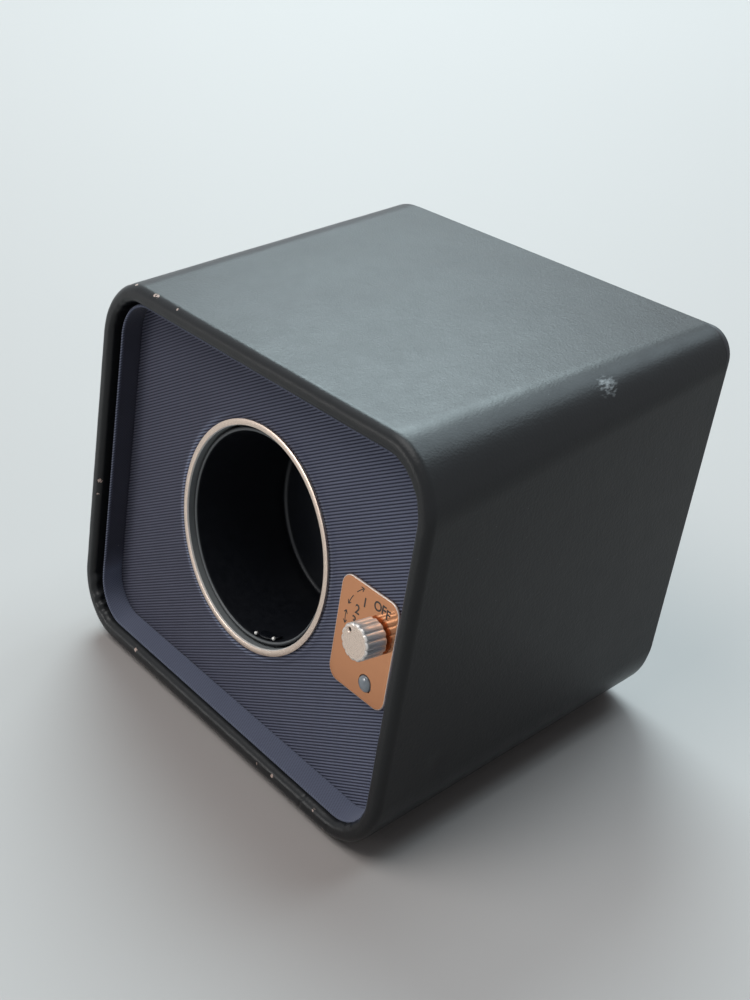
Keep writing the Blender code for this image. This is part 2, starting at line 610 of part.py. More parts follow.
def make_drum(axis):
    """The turning cup with its back disc, catch, gear, screws, spindle and clip."""
    lip = DRUM_WALL / 2
    lip_middle = (DRUM_MOUTH_RADIUS - lip, DRUM_LIP_DEPTH + lip)
    fillet_middle = (FLOOR_RADIUS - DRUM_FILLET, DRUM_FLOOR_DEPTH - DRUM_FILLET)
    profile = [(0, DRUM_FLOOR_DEPTH)]
    profile += arc(fillet_middle, DRUM_FILLET, math.pi / 2, 0, ROLL_STEPS)
    profile += arc(lip_middle, lip, math.pi, 2 * math.pi, ROLL_STEPS)
    profile += [(FLOOR_RADIUS + DRUM_WALL, DRUM_BACK), (BOSS_RADIUS, DRUM_BACK),
                (BOSS_RADIUS, BOSS_BACK), (SPINDLE_BORE, BOSS_BACK),
                (SPINDLE_BORE, SPINDLE_FRONT - SEAT_GAP), (0, SPINDLE_FRONT - SEAT_GAP)]
    drum = turned("drum", profile, "black_plastic", parent=axis)

    disc_back = DRUM_FLOOR_DEPTH - SEAT_GAP
    disc_front = disc_back - DISC_THICKNESS
    ease = DISC_THICKNESS / 2
    turned("drum_disc", [(0, disc_front), (DISC_RADIUS - ease, disc_front),
                         (DISC_RADIUS, disc_front + ease), (DISC_RADIUS, disc_back), (0, disc_back)],
           "black_plastic", parent=axis)
    make_catch(axis)

    gear = prism("drum_gear", gear_outline(GEAR_TEETH, GEAR_BACKLASH), GEAR_FRONT, GEAR_BACK,
                 "white_acetal", parent=axis)
    hub = GEAR_BORE + GEAR_HUB_WALL
    rim = GEAR_ROOT - GEAR_RIM
    web_back = GEAR_FRONT + GEAR_WEB
    beyond = GEAR_BACK + GEAR_WIDTH
    dish = turned("gear_dish", [(hub, web_back), (rim, web_back), (rim, beyond), (hub, beyond)],
                  "steel", closed=True, parent=axis)
    bore = cutter("gear_bore", GEAR_BORE, GEAR_FRONT - GEAR_WIDTH, beyond, parent=axis)
    combine(gear, dish, 'DIFFERENCE')
    combine(gear, bore, 'DIFFERENCE')
    ring = (hub + rim) / 2
    for i in range(3):
        turn = math.pi / 2 + 2 * math.pi * i / 3
        spot = (ring * math.cos(turn), 0, ring * math.sin(turn))
        hole = cutter(f"gear_screw_hole_{i + 1}", SCREW_HOLE, DRUM_FLOOR_DEPTH - DRUM_FLOOR, beyond,
                      sides=SCREW_SIDES, parent=axis, location=spot)
        combine(gear, hole, 'DIFFERENCE')
        combine(drum, hole, 'DIFFERENCE')
        screw(f"gear_screw_{i + 1}", web_back, GEAR_WEB + SEAT_GAP + GEAR_SCREW_BITE,
              parent=axis, location=spot)

    groove = SPINDLE_RADIUS - CLIP_GROOVE
    turned("drum_spindle", [(0, SPINDLE_FRONT), (SPINDLE_RADIUS, SPINDLE_FRONT),
                            (SPINDLE_RADIUS, CLIP_FRONT - SEAT_GAP), (groove, CLIP_FRONT - SEAT_GAP),
                            (groove, CLIP_BACK + SEAT_GAP), (SPINDLE_RADIUS, CLIP_BACK + SEAT_GAP),
                            (SPINDLE_RADIUS, SPINDLE_BACK), (0, SPINDLE_BACK)],
           "steel", sides=SMALL_SIDES, parent=axis)
    clip_bore = groove + SEAT_GAP
    clip_edge = clip_bore + CLIP_WIDTH
    first = CLIP_MOUTH / 2
    last = 2 * math.pi - CLIP_MOUTH / 2
    outline = arc((0, 0), clip_edge, first, last, SMALL_SIDES)
    outline += arc((0, 0), clip_bore, last, first, SMALL_SIDES)
    prism("spindle_clip", outline, CLIP_FRONT, CLIP_BACK, "steel", parent=axis)
    washer_back = WASHER_FRONT + WASHER_THICKNESS
    turned("spindle_washer", [(BUSH_BORE, WASHER_FRONT), (BUSH_RADIUS, WASHER_FRONT),
                              (BUSH_RADIUS, washer_back), (BUSH_BORE, washer_back)],
           "steel", sides=SMALL_SIDES, closed=True, parent=axis)


def make_catch(axis):
    """A sprung tab just inside the drum's mouth, curved to the wall it sits on."""
    front = DRUM_LIP_DEPTH + CATCH_SETBACK
    back = front + CATCH_LENGTH
    outer = DRUM_BORE - DRUM_DRAFT * back / DRUM_FLOOR_DEPTH - SEAT_GAP
    inner = outer - CATCH_HEIGHT
    spread = CATCH_WIDTH / (2 * outer)
    start = CATCH_ANGLE - spread
    end = CATCH_ANGLE + spread
    thin = outer - CATCH_EDGE

    def section(low, depth):
        points = arc((0, 0), outer, start, end, ROLL_STEPS) + arc((0, 0), low, end, start, ROLL_STEPS)
        return [(u, depth, s) for u, s in points]

    loops = [section(thin, front), section(inner, front + CATCH_RAMP),
             section(inner, back - CATCH_RAMP), section(thin, back)]
    loft("cuff_catch", loops, "satin_nickel", parent=axis)


def make_drive(face, pinion_axis):
    """The bearing bush, drive plate on four pillars, gear motor and its pinion."""
    flange = BUSH_RADIUS + BUSH_FLANGE
    flange_back = BUSH_FRONT + BUSH_FLANGE_THICKNESS
    turned("bearing_bush", [(BUSH_BORE, BUSH_FRONT), (flange, BUSH_FRONT), (flange, flange_back),
                            (BUSH_RADIUS, flange_back), (BUSH_RADIUS, BUSH_BACK),
                            (BUSH_BORE, BUSH_BACK)],
           "bronze", sides=SMALL_SIDES, closed=True, parent=face)

    reach = PILLAR_PLACE + PILLAR_EDGE
    left = GEAR_CENTRES + GEARBOX_RADIUS
    width = reach + max(left, reach)
    outline = [(u + reach - width / 2, s)
               for u, s in rounded_rectangle(width, 2 * reach, DRIVE_PLATE_CORNER)]
    plate = prism("drive_plate", outline, PLATE_FRONT, PLATE_BACK, "zinc_plate", parent=face)
    through = (PLATE_FRONT - DRIVE_PLATE, PLATE_BACK + DRIVE_PLATE)
    combine(plate, cutter("bush_hole", BUSH_RADIUS + SEAT_GAP, *through, parent=face), 'DIFFERENCE')
    nose = cutter("nose_hole", GEARBOX_NOSE + SEAT_GAP, *through, parent=pinion_axis)
    combine(plate, nose, 'DIFFERENCE')

    pillar_front = FACE_PANEL + SEAT_GAP
    pillar_back = PLATE_FRONT - SEAT_GAP
    bore_end = PLATE_BACK - SCREW_BITE - DRIVE_PLATE - SEAT_GAP
    corners = ((1, 1), (-1, 1), (-1, -1), (1, -1))
    for number, (side, end) in enumerate(corners, start=1):
        spot = (side * PILLAR_PLACE, 0, end * PILLAR_PLACE)
        turned(f"pillar_{number}", [(0, pillar_front), (PILLAR_RADIUS, pillar_front),
                                    (PILLAR_RADIUS, pillar_back), (SCREW_HOLE, pillar_back),
                                    (SCREW_HOLE, bore_end), (0, bore_end)],
               "zinc_plate", sides=SCREW_SIDES, parent=face, location=spot)
        hole = cutter(f"pillar_hole_{number}", SCREW_HOLE, *through, sides=SCREW_SIDES,
                      parent=face, location=spot)
        combine(plate, hole, 'DIFFERENCE')
        screw(f"pillar_screw_{number}", PLATE_BACK, DRIVE_PLATE + SCREW_BITE, parent=face, location=spot)
    make_motor(plate, through, pinion_axis)


def make_motor(plate, through, axis):
    """The gearbox with its nose, the flat-sided motor can, the shaft and the pinion."""
    nose_front = PLATE_FRONT
    shaft_back = GEARBOX_FRONT + MOTOR_SHAFT_BITE
    profile = [(SHAFT_BORE, nose_front), (GEARBOX_NOSE, nose_front), (GEARBOX_NOSE, GEARBOX_FRONT),
               (GEARBOX_RADIUS - GEARBOX_EASE, GEARBOX_FRONT),
               (GEARBOX_RADIUS, GEARBOX_FRONT + GEARBOX_EASE),
               (GEARBOX_RADIUS, GEARBOX_BACK), (0, GEARBOX_BACK)]
    profile = [(0, shaft_back + SEAT_GAP), (SHAFT_BORE, shaft_back + SEAT_GAP)] + profile
    gearbox = turned("gearbox", profile, "black_plastic", sides=SMALL_SIDES, parent=axis)
    for number, end in enumerate((1, -1), start=1):
        spot = (0, 0, end * MOTOR_SCREW_SPREAD)
        hole = cutter(f"motor_hole_{number}", SCREW_HOLE, through[0], GEARBOX_FRONT + SCREW_BITE,
                      sides=SCREW_SIDES, parent=axis, location=spot)
        combine(plate, hole, 'DIFFERENCE')
        combine(gearbox, hole, 'DIFFERENCE')
        make_motor_screw(f"motor_screw_{number}", axis, spot)

    tilt = math.asin(MOTOR_FLAT / MOTOR_RADIUS)
    outline = arc((0, 0), MOTOR_RADIUS, -tilt, tilt, CORNER_STEPS)
    outline += arc((0, 0), MOTOR_RADIUS, math.pi - tilt, math.pi + tilt, CORNER_STEPS)
    prism("motor_can", outline, MOTOR_FRONT, MOTOR_BACK, "zinc_plate", parent=axis)

    pinion_front = GEAR_FRONT - PINION_OVERLAP / 2
    pinion_back = GEAR_BACK + PINION_OVERLAP
    shaft_front = pinion_front - SEAT_GAP
    turned("motor_shaft", [(0, shaft_front), (MOTOR_SHAFT_RADIUS, shaft_front),
                           (MOTOR_SHAFT_RADIUS, shaft_back), (0, shaft_back)],
           "steel", sides=SCREW_SIDES, parent=axis)
    mesh_turn = math.pi / PINION_TEETH
    teeth = [(u * math.cos(mesh_turn) - s * math.sin(mesh_turn),
              u * math.sin(mesh_turn) + s * math.cos(mesh_turn))
             for u, s in gear_outline(PINION_TEETH, GEAR_BACKLASH)]
    pinion = prism("motor_pinion", teeth, pinion_front, pinion_back, "white_acetal", parent=axis)
    bore = cutter("pinion_bore", SHAFT_BORE, pinion_front - GEAR_WIDTH, pinion_back + GEAR_WIDTH,
                  sides=SCREW_SIDES, parent=axis)
    combine(pinion, bore, 'DIFFERENCE')


def make_motor_screw(name, axis, spot):
    """A screw whose head sits on the front of the drive plate and holds the gearbox."""
    head_back = PLATE_FRONT - SEAT_GAP
    tip = GEARBOX_FRONT + SCREW_BITE - SEAT_GAP
    head_front = head_back - SCREW_HEAD
    turned(name, [(0, head_front), (SCREW_HEAD_RADIUS, head_front), (SCREW_HEAD_RADIUS, head_back),
                  (SCREW_RADIUS, head_back), (SCREW_RADIUS, tip), (0, tip)],
           "steel", sides=SCREW_SIDES, parent=axis, location=spot)


def make_control(face, knob_axis):
    """The control plate, fluted knob, switch, pilot light and the board behind them."""
    outline = rounded_rectangle(CONTROL_WIDTH, CONTROL_HEIGHT, CONTROL_CORNER)
    spot = (CONTROL_U, 0, CONTROL_S)
    plate = prism("control_plate", outline, CONTROL_FRONT, CONTROL_BACK, "copper_plate",
                  parent=face, location=spot)
    through = (CONTROL_FRONT - CONTROL_THICKNESS, CONTROL_BACK + CONTROL_THICKNESS)
    shaft_bore = SWITCH_SHAFT_RADIUS + SHAFT_GAP
    shaft_hole = cutter("shaft_hole", shaft_bore, *through, parent=knob_axis)
    lens_spot = (LIGHT_U, 0, LIGHT_S)
    lens_hole = cutter("lens_hole", LIGHT_RADIUS + SEAT_GAP, *through, parent=face, location=lens_spot)
    combine(plate, shaft_hole, 'DIFFERENCE')
    combine(plate, lens_hole, 'DIFFERENCE')
    make_knob(knob_axis, shaft_bore)

    shaft_back = BOARD_FRONT - SEAT_GAP - SWITCH_FLOOR
    shaft_front = KNOB_FRONT + SWITCH_SHAFT_TIP
    turned("switch_shaft", [(0, shaft_front), (SWITCH_SHAFT_RADIUS, shaft_front),
                            (SWITCH_SHAFT_RADIUS, shaft_back), (0, shaft_back)],
           "steel", sides=SMALL_SIDES, parent=knob_axis)
    body = rounded_rectangle(SWITCH_BODY, SWITCH_BODY, SWITCH_BODY_CORNER, 2)
    switch = prism("rotary_switch", body, SWITCH_FRONT, SWITCH_FRONT + SWITCH_BODY_DEPTH,
                   "black_plastic", parent=face, location=(KNOB_U, 0, KNOB_S))
    collar = cutter("switch_collar", shaft_bore + SWITCH_COLLAR_WALL, SEAT_GAP,
                    SWITCH_FRONT + SWITCH_BODY_DEPTH / 2, parent=knob_axis)
    socket = cutter("switch_socket", shaft_bore, -FACE_PANEL, shaft_back + SEAT_GAP, parent=knob_axis)
    combine(switch, collar, 'UNION')
    combine(switch, socket, 'DIFFERENCE')
    make_light(face, lens_spot)
    make_board(face)


def make_knob(axis, shaft_bore):
    """A fluted knob with an eased end, a blind bore and a pointer dimple."""
    steps = FLUTE_STEPS * KNOB_FLUTES

    def ring(radius, depth):
        turns = [2 * math.pi * i / steps for i in range(steps)]
        radii = [radius - KNOB_FLUTE_DEPTH * (1 - abs(math.sin(KNOB_FLUTES * a / 2))) for a in turns]
        return [(r * math.cos(a), depth, r * math.sin(a)) for r, a in zip(radii, turns)]

    ease_middle = (KNOB_RADIUS - KNOB_EASE, KNOB_FRONT + KNOB_EASE)
    eased = arc(ease_middle, KNOB_EASE, 0, -math.pi / 2, EASE_STEPS)
    loops = [ring(radius, depth) for radius, depth in [(KNOB_RADIUS, KNOB_BACK)] + eased]
    knob = loft("selector_knob", loops, "chrome", parent=axis)
    bore = cutter("knob_bore", shaft_bore, KNOB_FRONT + SWITCH_SHAFT_TIP - SEAT_GAP,
                  KNOB_BACK + KNOB_LENGTH, parent=axis)
    combine(knob, bore, 'DIFFERENCE')
    reach = KNOB_RADIUS - KNOB_POINTER_INSET
    dimple = [(0, KNOB_FRONT - KNOB_POINTER_RADIUS), (KNOB_POINTER_RADIUS, KNOB_FRONT - KNOB_POINTER_RADIUS),
              (KNOB_POINTER_RADIUS, KNOB_FRONT), (0, KNOB_FRONT + KNOB_POINTER_RADIUS / 2)]
    spot = (reach * math.cos(KNOB_POINTER_ANGLE), 0, reach * math.sin(KNOB_POINTER_ANGLE))
    pointer = turned("pointer_dimple", dimple, "steel", sides=SCREW_SIDES, parent=axis, location=spot)
    combine(knob, pointer, 'DIFFERENCE')


def make_light(face, spot):
    """A pilot light with a low dome, a flange and two legs that reach the board."""
    tip = CONTROL_FRONT - LIGHT_PROUD
    back = tip + LIGHT_RADIUS + LIGHT_LENGTH
    flange = LIGHT_RADIUS + LIGHT_FLANGE
    flange_front = back - LIGHT_FLANGE_THICKNESS
    dome = [(LIGHT_RADIUS * x, CONTROL_FRONT - LIGHT_PROUD * y)
            for x, y in arc((0, 0), 1.0, math.pi / 2, 0, CROWN_STEPS)]
    profile = [(0, tip)] + dome[1:]
    profile += [(LIGHT_RADIUS, flange_front), (flange, flange_front), (flange, back), (0, back)]
    light = turned("power_light", profile, "clear_lens", sides=SMALL_SIDES, parent=face, location=spot)
    leg = rounded_rectangle(LIGHT_LEG, LIGHT_LEG, LIGHT_LEG / 4, 1)
    for side in (-1, 1):
        place = (spot[0] + side * LIGHT_LEG_PITCH / 2, 0, spot[2])
        post = prism(f"light_leg_{(side + 3) // 2}", leg, flange_front, BOARD_FRONT - SEAT_GAP,
                     "steel", parent=face, location=place)
        combine(light, post, 'UNION')


def make_board(face):
    """The circuit board on two posts, with its driver chip and capacitor."""
    left = DRUM_MOUTH_RADIUS + 2 * BOARD_MARGIN
    right = CASE_WIDTH / 2 - RIM - SEAT_GAP - BOARD_MARGIN
    width = right - left
    middle = (left + right) / 2
    spot = (middle, 0, CONTROL_S)
    height = CONTROL_HEIGHT + 2 * BOARD_POST_INSET
    board = prism("control_board", rounded_rectangle(width, height, BOARD_CORNER, 3), BOARD_FRONT,
                  BOARD_BACK, "green_board", parent=face, location=spot)
    post_front = FACE_PANEL + SEAT_GAP
    post_back = BOARD_FRONT - SEAT_GAP
    for name, side, end in (("upper", -1, 1), ("lower", -1, -1)):
        place = (middle + side * (width / 2 - BOARD_POST_INSET), 0,
                 CONTROL_S + end * (height / 2 - BOARD_POST_INSET))
        bore_end = post_back - SCREW_BITE - SEAT_GAP
        turned(f"board_post_{name}", [(0, post_front), (BOARD_POST_RADIUS, post_front),
                                      (BOARD_POST_RADIUS, post_back), (SCREW_HOLE, post_back),
                                      (SCREW_HOLE, bore_end), (0, bore_end)],
               "black_plastic", sides=SCREW_SIDES, parent=face, location=place)
        hole = cutter(f"board_hole_{name}", SCREW_HOLE, BOARD_FRONT - BOARD_THICKNESS,
                      BOARD_BACK + BOARD_THICKNESS, sides=SCREW_SIDES, parent=face, location=place)
        combine(board, hole, 'DIFFERENCE')
        screw(f"board_screw_{name}", BOARD_BACK, BOARD_THICKNESS + SCREW_BITE, parent=face, location=place)
    chip_front = BOARD_BACK + SEAT_GAP
    prism("driver_chip", rounded_rectangle(CHIP_WIDTH, CHIP_LENGTH, CHIP_CORNER, 1), chip_front,
          chip_front + CHIP_HEIGHT, "black_plastic", parent=face, location=(middle, 0, CONTROL_S))
    can_back = chip_front + CAPACITOR_HEIGHT
    can_spot = (right - BOARD_POST_INSET - CAPACITOR_RADIUS, 0,
                CONTROL_S - height / 2 + BOARD_POST_INSET + CAPACITOR_RADIUS)
    turned("board_capacitor", [(0, chip_front), (CAPACITOR_RADIUS, chip_front),
                               (CAPACITOR_RADIUS, can_back - CAPACITOR_EASE),
                               (CAPACITOR_RADIUS - CAPACITOR_EASE, can_back), (0, can_back)],
           "black_plastic", sides=SMALL_SIDES, parent=face, location=can_spot)


def make_inlet(rear, face):
    """The barrel power inlet in the rear panel, its nut and the two leads."""
    outside = REAR_FACE - FACE_RECESS
    inside = PLUG_FRONT - FACE_RECESS
    u = CASE_WIDTH / 2 - JACK_FROM_SIDE
    s = (CASE_BASE + JACK_HEIGHT - face.location.z + outside * SIN) / COS
    spot = (u, 0, s)
    hole = cutter("jack_hole", JACK_BARREL_RADIUS + SEAT_GAP, inside - JACK_LENGTH,
                  outside + JACK_LENGTH, parent=face, location=spot)
    combine(rear, hole, 'DIFFERENCE')
    seat = outside + SEAT_GAP
    front = outside - JACK_LENGTH
    floor = seat + JACK_FLANGE - JACK_SOCKET_DEPTH
    mouth = seat + JACK_FLANGE
    profile = [(0, mouth - JACK_PIN_RADIUS), (JACK_PIN_RADIUS, mouth - 2 * JACK_PIN_RADIUS),
               (JACK_PIN_RADIUS, floor), (JACK_SOCKET_RADIUS, floor), (JACK_SOCKET_RADIUS, mouth),
               (JACK_FLANGE_RADIUS, mouth), (JACK_FLANGE_RADIUS, seat), (JACK_BARREL_RADIUS, seat),
               (JACK_BARREL_RADIUS, front), (0, front)]
    turned("power_inlet", profile, "black_plastic", sides=SMALL_SIDES, parent=face, location=spot)
    corners = [(JACK_NUT_RADIUS * math.cos(math.pi * i / 3), JACK_NUT_RADIUS * math.sin(math.pi * i / 3))
               for i in range(6)]
    nut_back = inside - SEAT_GAP
    nut = prism("inlet_nut", corners, nut_back - JACK_NUT, nut_back, "zinc_plate",
                parent=face, location=spot)
    nut_hole = cutter("nut_hole", JACK_BARREL_RADIUS + SEAT_GAP, nut_back - 2 * JACK_NUT,
                      nut_back + JACK_NUT, parent=face, location=spot)
    combine(nut, nut_hole, 'DIFFERENCE')

    start_u = CONTROL_RIGHT
    board_end = BOARD_BACK + SEAT_GAP
    jack_end = front - SEAT_GAP
    lead("inlet_lead", [(start_u, board_end, KNOB_S), (start_u, board_end + LEAD_STRAIGHT, KNOB_S),
                        (start_u, (board_end + jack_end) / 2, (KNOB_S + s) / 2),
                        (u, jack_end - LEAD_STRAIGHT, s), (u, jack_end, s)], face)
    top = CONTROL_S + CONTROL_HEIGHT / 2
    behind = MOTOR_BACK + SEAT_GAP
    turn_back = behind + LEAD_STRAIGHT
    lead("motor_lead", [(start_u, board_end, top), (start_u, board_end + LEAD_STRAIGHT, top),
                        (start_u, PLATE_BACK, top + LEAD_STRAIGHT),
                        (start_u / 2, MOTOR_BACK, top + 2 * LEAD_STRAIGHT),
                        (0, turn_back, top), (-GEAR_CENTRES / 2, turn_back + LEAD_STRAIGHT / 2, top / 2),
                        (-GEAR_CENTRES, turn_back, 0), (-GEAR_CENTRES, behind, 0)], face)


def main():
    """Build the winder box."""
    clear_scene()
    rear = make_case()
    middle = CASE_BASE + CASE_HEIGHT / 2 + DRUM_RISE * COS - FACE_RECESS * SIN
    face = axis_frame("face_frame", lean_point(0.0, FACE_RECESS, middle), FACE_LEAN)
    drum_axis = axis_frame("drum_axis", (0, 0, 0), parent=face)
    pinion_axis = axis_frame("pinion_axis", (-GEAR_CENTRES, 0, 0), parent=face)
    knob_axis = axis_frame("knob_axis", (KNOB_U, 0, KNOB_S), parent=face)
    make_front(face)
    make_drum(drum_axis)
    make_drive(face, pinion_axis)
    make_control(face, knob_axis)
    make_inlet(rear, face)


if __name__ == "__main__":
    main()
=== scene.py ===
"""Looks of a watch winder box: leather case, ribbed fabric front, metal ring, plate and knob.

The packed solids are the fixed frame. Every piece that shows is a surface worked out
with numpy in that frame, in metres, and rides on the body that carries it.

Three measures are used on the leaning front: across (to the right), up (up the face)
and in (along the drum's axis, into the box), all from the drum's axis on the face.
"""
import json
import math

import bmesh
import bpy
import numpy as np
from mathutils import Matrix, Vector


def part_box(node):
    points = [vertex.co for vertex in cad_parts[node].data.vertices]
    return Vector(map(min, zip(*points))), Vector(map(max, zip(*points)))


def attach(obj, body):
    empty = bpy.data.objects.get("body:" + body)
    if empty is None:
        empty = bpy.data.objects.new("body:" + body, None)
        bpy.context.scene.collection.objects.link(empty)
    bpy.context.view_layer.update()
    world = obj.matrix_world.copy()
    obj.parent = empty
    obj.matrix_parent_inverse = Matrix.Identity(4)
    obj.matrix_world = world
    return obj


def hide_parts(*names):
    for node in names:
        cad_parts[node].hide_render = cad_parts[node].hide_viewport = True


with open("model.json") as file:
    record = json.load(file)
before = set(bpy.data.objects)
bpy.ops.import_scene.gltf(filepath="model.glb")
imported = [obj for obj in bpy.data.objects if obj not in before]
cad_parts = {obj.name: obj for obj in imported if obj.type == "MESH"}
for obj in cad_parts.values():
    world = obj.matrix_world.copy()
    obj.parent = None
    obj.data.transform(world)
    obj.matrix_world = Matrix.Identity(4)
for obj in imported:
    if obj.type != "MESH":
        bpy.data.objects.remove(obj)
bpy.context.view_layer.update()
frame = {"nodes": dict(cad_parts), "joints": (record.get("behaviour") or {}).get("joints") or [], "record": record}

bl_info = {
    "name": "Watch Winder Box",
    "version": (1, 0, 0),
    "blender": (4, 5, 0),
    "location": "3D View > Sidebar > Winder",
    "description": "Dresses a watch winder box in leather, ribbed fabric and polished metal",
    "category": "Object",
}

# How close points are when they are welded, a full and a quarter turn, and the gap between close pieces
WELD = 1e-6
TURN, QUARTER = 2 * math.pi, math.pi / 2
GAP = 0.0003

# The leaning front, from the drum's joint
JOINTS = {joint["name"]: joint for joint in frame["joints"]}
MIDDLE = np.array(JOINTS["drum_spin"]["pos_m"])
IN = np.array(JOINTS["drum_spin"]["axis"])
UP = np.array((0.0, -IN[2], IN[1]))
ACROSS = np.array((1.0, 0.0, 0.0))
AXES = np.stack((ACROSS, UP, IN))
COS, SIN = IN[1], -IN[2]


def mesh_points(mesh):
    """All corners of a mesh, as rows of (x, y, z)."""
    points = np.empty(len(mesh.vertices) * 3, np.float32)
    mesh.vertices.foreach_get("co", points)
    return points.reshape(-1, 3).astype(float)


def node_points(node):
    """All corners of a CAD node, as rows of (x, y, z)."""
    return mesh_points(frame["nodes"][node].data)


def measured(points):
    """Measures of points across, up and in: the reverse of on_face."""
    return (points - MIDDLE) @ AXES.T


def face_box(node):
    """Lowest and highest corner of a CAD node, measured across, up and in."""
    local = measured(node_points(node))
    return local.min(0), local.max(0)


CASE_LOW, CASE_HIGH = (np.array(corner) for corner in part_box("leather_wrap"))
RING_LOW, RING_HIGH = face_box("bezel_ring")
DRUM_LOW, DRUM_HIGH = face_box("drum")
DISC_LOW, DISC_HIGH = face_box("drum_disc")
PLATE_LOW, PLATE_HIGH = face_box("control_plate")
KNOB_LOW, KNOB_HIGH = face_box("selector_knob")
LAMP_LOW, LAMP_HIGH = face_box("power_light")
INLET_LOW, INLET_HIGH = face_box("power_inlet")
PANEL_LOW, PANEL_HIGH = face_box("face_panel")
LINER_LOW, LINER_HIGH = face_box("front_liner")
WRAP_LOW, WRAP_HIGH = face_box("leather_wrap")
REAR_LOW, REAR_HIGH = face_box("rear_panel")
CASE_DEPTH = WRAP_HIGH[2] - WRAP_LOW[2]
KNOB_PLACE = measured(np.array(JOINTS["knob_turn"]["pos_m"]))


def size(label, text, default):
    """A length that a user may change."""
    return bpy.props.FloatProperty(name=label, description=text, default=float(default), min=0.0,
                                   unit='LENGTH', precision=5)


def degrees(label, text, default):
    """An angle, given in degrees, that a user may change."""
    return bpy.props.FloatProperty(name=label, description=text, default=math.radians(default),
                                   subtype='ANGLE')


def colour(label, text, default):
    """A colour that a user may change."""
    return bpy.props.FloatVectorProperty(name=label, description=text, default=default, size=3,
                                         min=0.0, max=1.0, subtype='COLOR')


class WinderCase(bpy.types.PropertyGroup):
    """Sizes of the leather case and its front recess."""
    corner: size("Corner radius", "Radius of the case's long edges", 0.021)
    tight_corner: size("Tight corner", "Radius of the upper right edge at the back", 0.012)
    rear_tight_corner: size("Rear tight corner", "The same radius on the rear panel", 0.010)
    rim: size("Rim", "Width of the rolled front rim", 0.0056)
    outer_roll: size("Outer roll", "Radius of the rim's outer edge", 0.0026)
    inner_roll: size("Inner roll", "Radius of the rim's inner edge", 0.0020)
    leather: size("Leather", "Thickness of the leather", 0.0009)
    recess: size("Recess", "Depth of the fabric face behind the rim", -WRAP_LOW[2])
    turn_in: size("Turn-in", "How far the leather goes in behind the rim", 0.017)
    uneven: size("Unevenness", "Height of the leather's slow waves", 0.00003)
    tuck: size("Tucks", "Height of the gathers in the rim's corners", 0.00050)
    seam: size("Seam", "Depth of the seam across the lower rim", 0.00022)
    seam_place: size("Seam place", "Distance of that seam to the right of the middle", 0.0507)
    liner_wall: size("Liner wall", "Thickness of the strip that lines the recess", 0.0008)
    liner_slide: size("Liner slide", "How far that strip lies to the right in its groove", 0.0011)
    rear_inset: size("Rear inset", "Step from the leather in to the rear panel", 0.0008)
    rear_edge: size("Rear edge", "Rounding of the rear panel's edge", 0.0007)


class WinderFabric(bpy.types.PropertyGroup):
    """Sizes of the ribbed fabric."""
    pitch: size("Rib pitch", "Distance from rib to rib", 0.00096)
    height: size("Rib height", "Height of a rib", 0.00020)
    slope: degrees("Rib slope", "Angle of the ribs to the level", 28.8)
    bead: size("Bead", "Rise of the fabric beside the ring", 0.00045)
    bead_width: size("Bead width", "Half width of that rise", 0.00085)
    fold_pitch: size("Fold pitch", "Distance between ribs along the liner's fold", 0.00095)
    fold_height: size("Fold height", "Height of the ribs on the liner", 0.00008)


class WinderMetal(bpy.types.PropertyGroup):
    """Sizes of the ring, the drum, the plate, the knob and the light."""
    band: size("Ring band", "Width of the ring", 0.0021)
    crown: size("Ring crown", "How much the ring's front swells", 0.00012)
    chamfer: size("Ring chamfer", "Width of the bright edge round the ring's bore", 0.00026)
    spigot: size("Ring spigot", "Wall of the ring inside the face's hole", 0.0010)
    lip: size("Drum lip", "Wall of the drum", 0.0014)
    draft: size("Drum draft", "How much the drum narrows to its floor", 0.0007)
    fillet: size("Drum fillet", "Rounding between the drum's wall and floor", 0.0015)
    drum_floor: size("Drum floor", "Thickness of the drum's floor", 0.0020)
    boss: size("Drum boss", "Radius of the boss behind the drum", 0.0070)
    disc_ease: size("Disc ease", "Rounding of the disc's edge", 0.0002)
    plate_corner: size("Plate corner", "Corner radius of the control plate", 0.0043)
    plate_ease: size("Plate ease", "Rounding of the control plate's edge", 0.00030)
    shaft_hole: size("Shaft hole", "Radius of the hole behind the knob", 0.0033)
    stud: size("Catch stud", "Radius of the stud at either end of the catch", 0.00065)
    bar: size("Catch bar", "Height of the bar between the studs", 0.0007)
    flute: size("Flute", "Depth of the knob's flutes", 0.00045)
    flutes: bpy.props.IntProperty(name="Flutes", description="Number of the knob's flutes", default=14)
    knob_ease: size("Knob ease", "Rounding of the knob's front edge", 0.0007)
    pointer: degrees("Pointer", "Angle of the knob's pointer dimple", 131.0)
    dimple: size("Dimple", "Radius of the pointer dimple", 0.0008)
    dimple_reach: size("Dimple reach", "Distance of the dimple from the knob's axis", 0.0038)
    print_height: size("Print height", "Height of the printed numbers", 0.0031)
    lamp_flange: size("Light flange", "Width of the flange behind the light", 0.0004)
    lamp_flange_depth: size("Light flange depth", "Thickness of that flange", 0.0010)
    lamp_length: size("Light length", "Length of the light behind its dome", 0.0050)
    lamp_leg: size("Light leg", "Thickness of the light's legs", 0.0005)
    lamp_leg_pitch: size("Light leg pitch", "Distance between the legs", 0.00254)


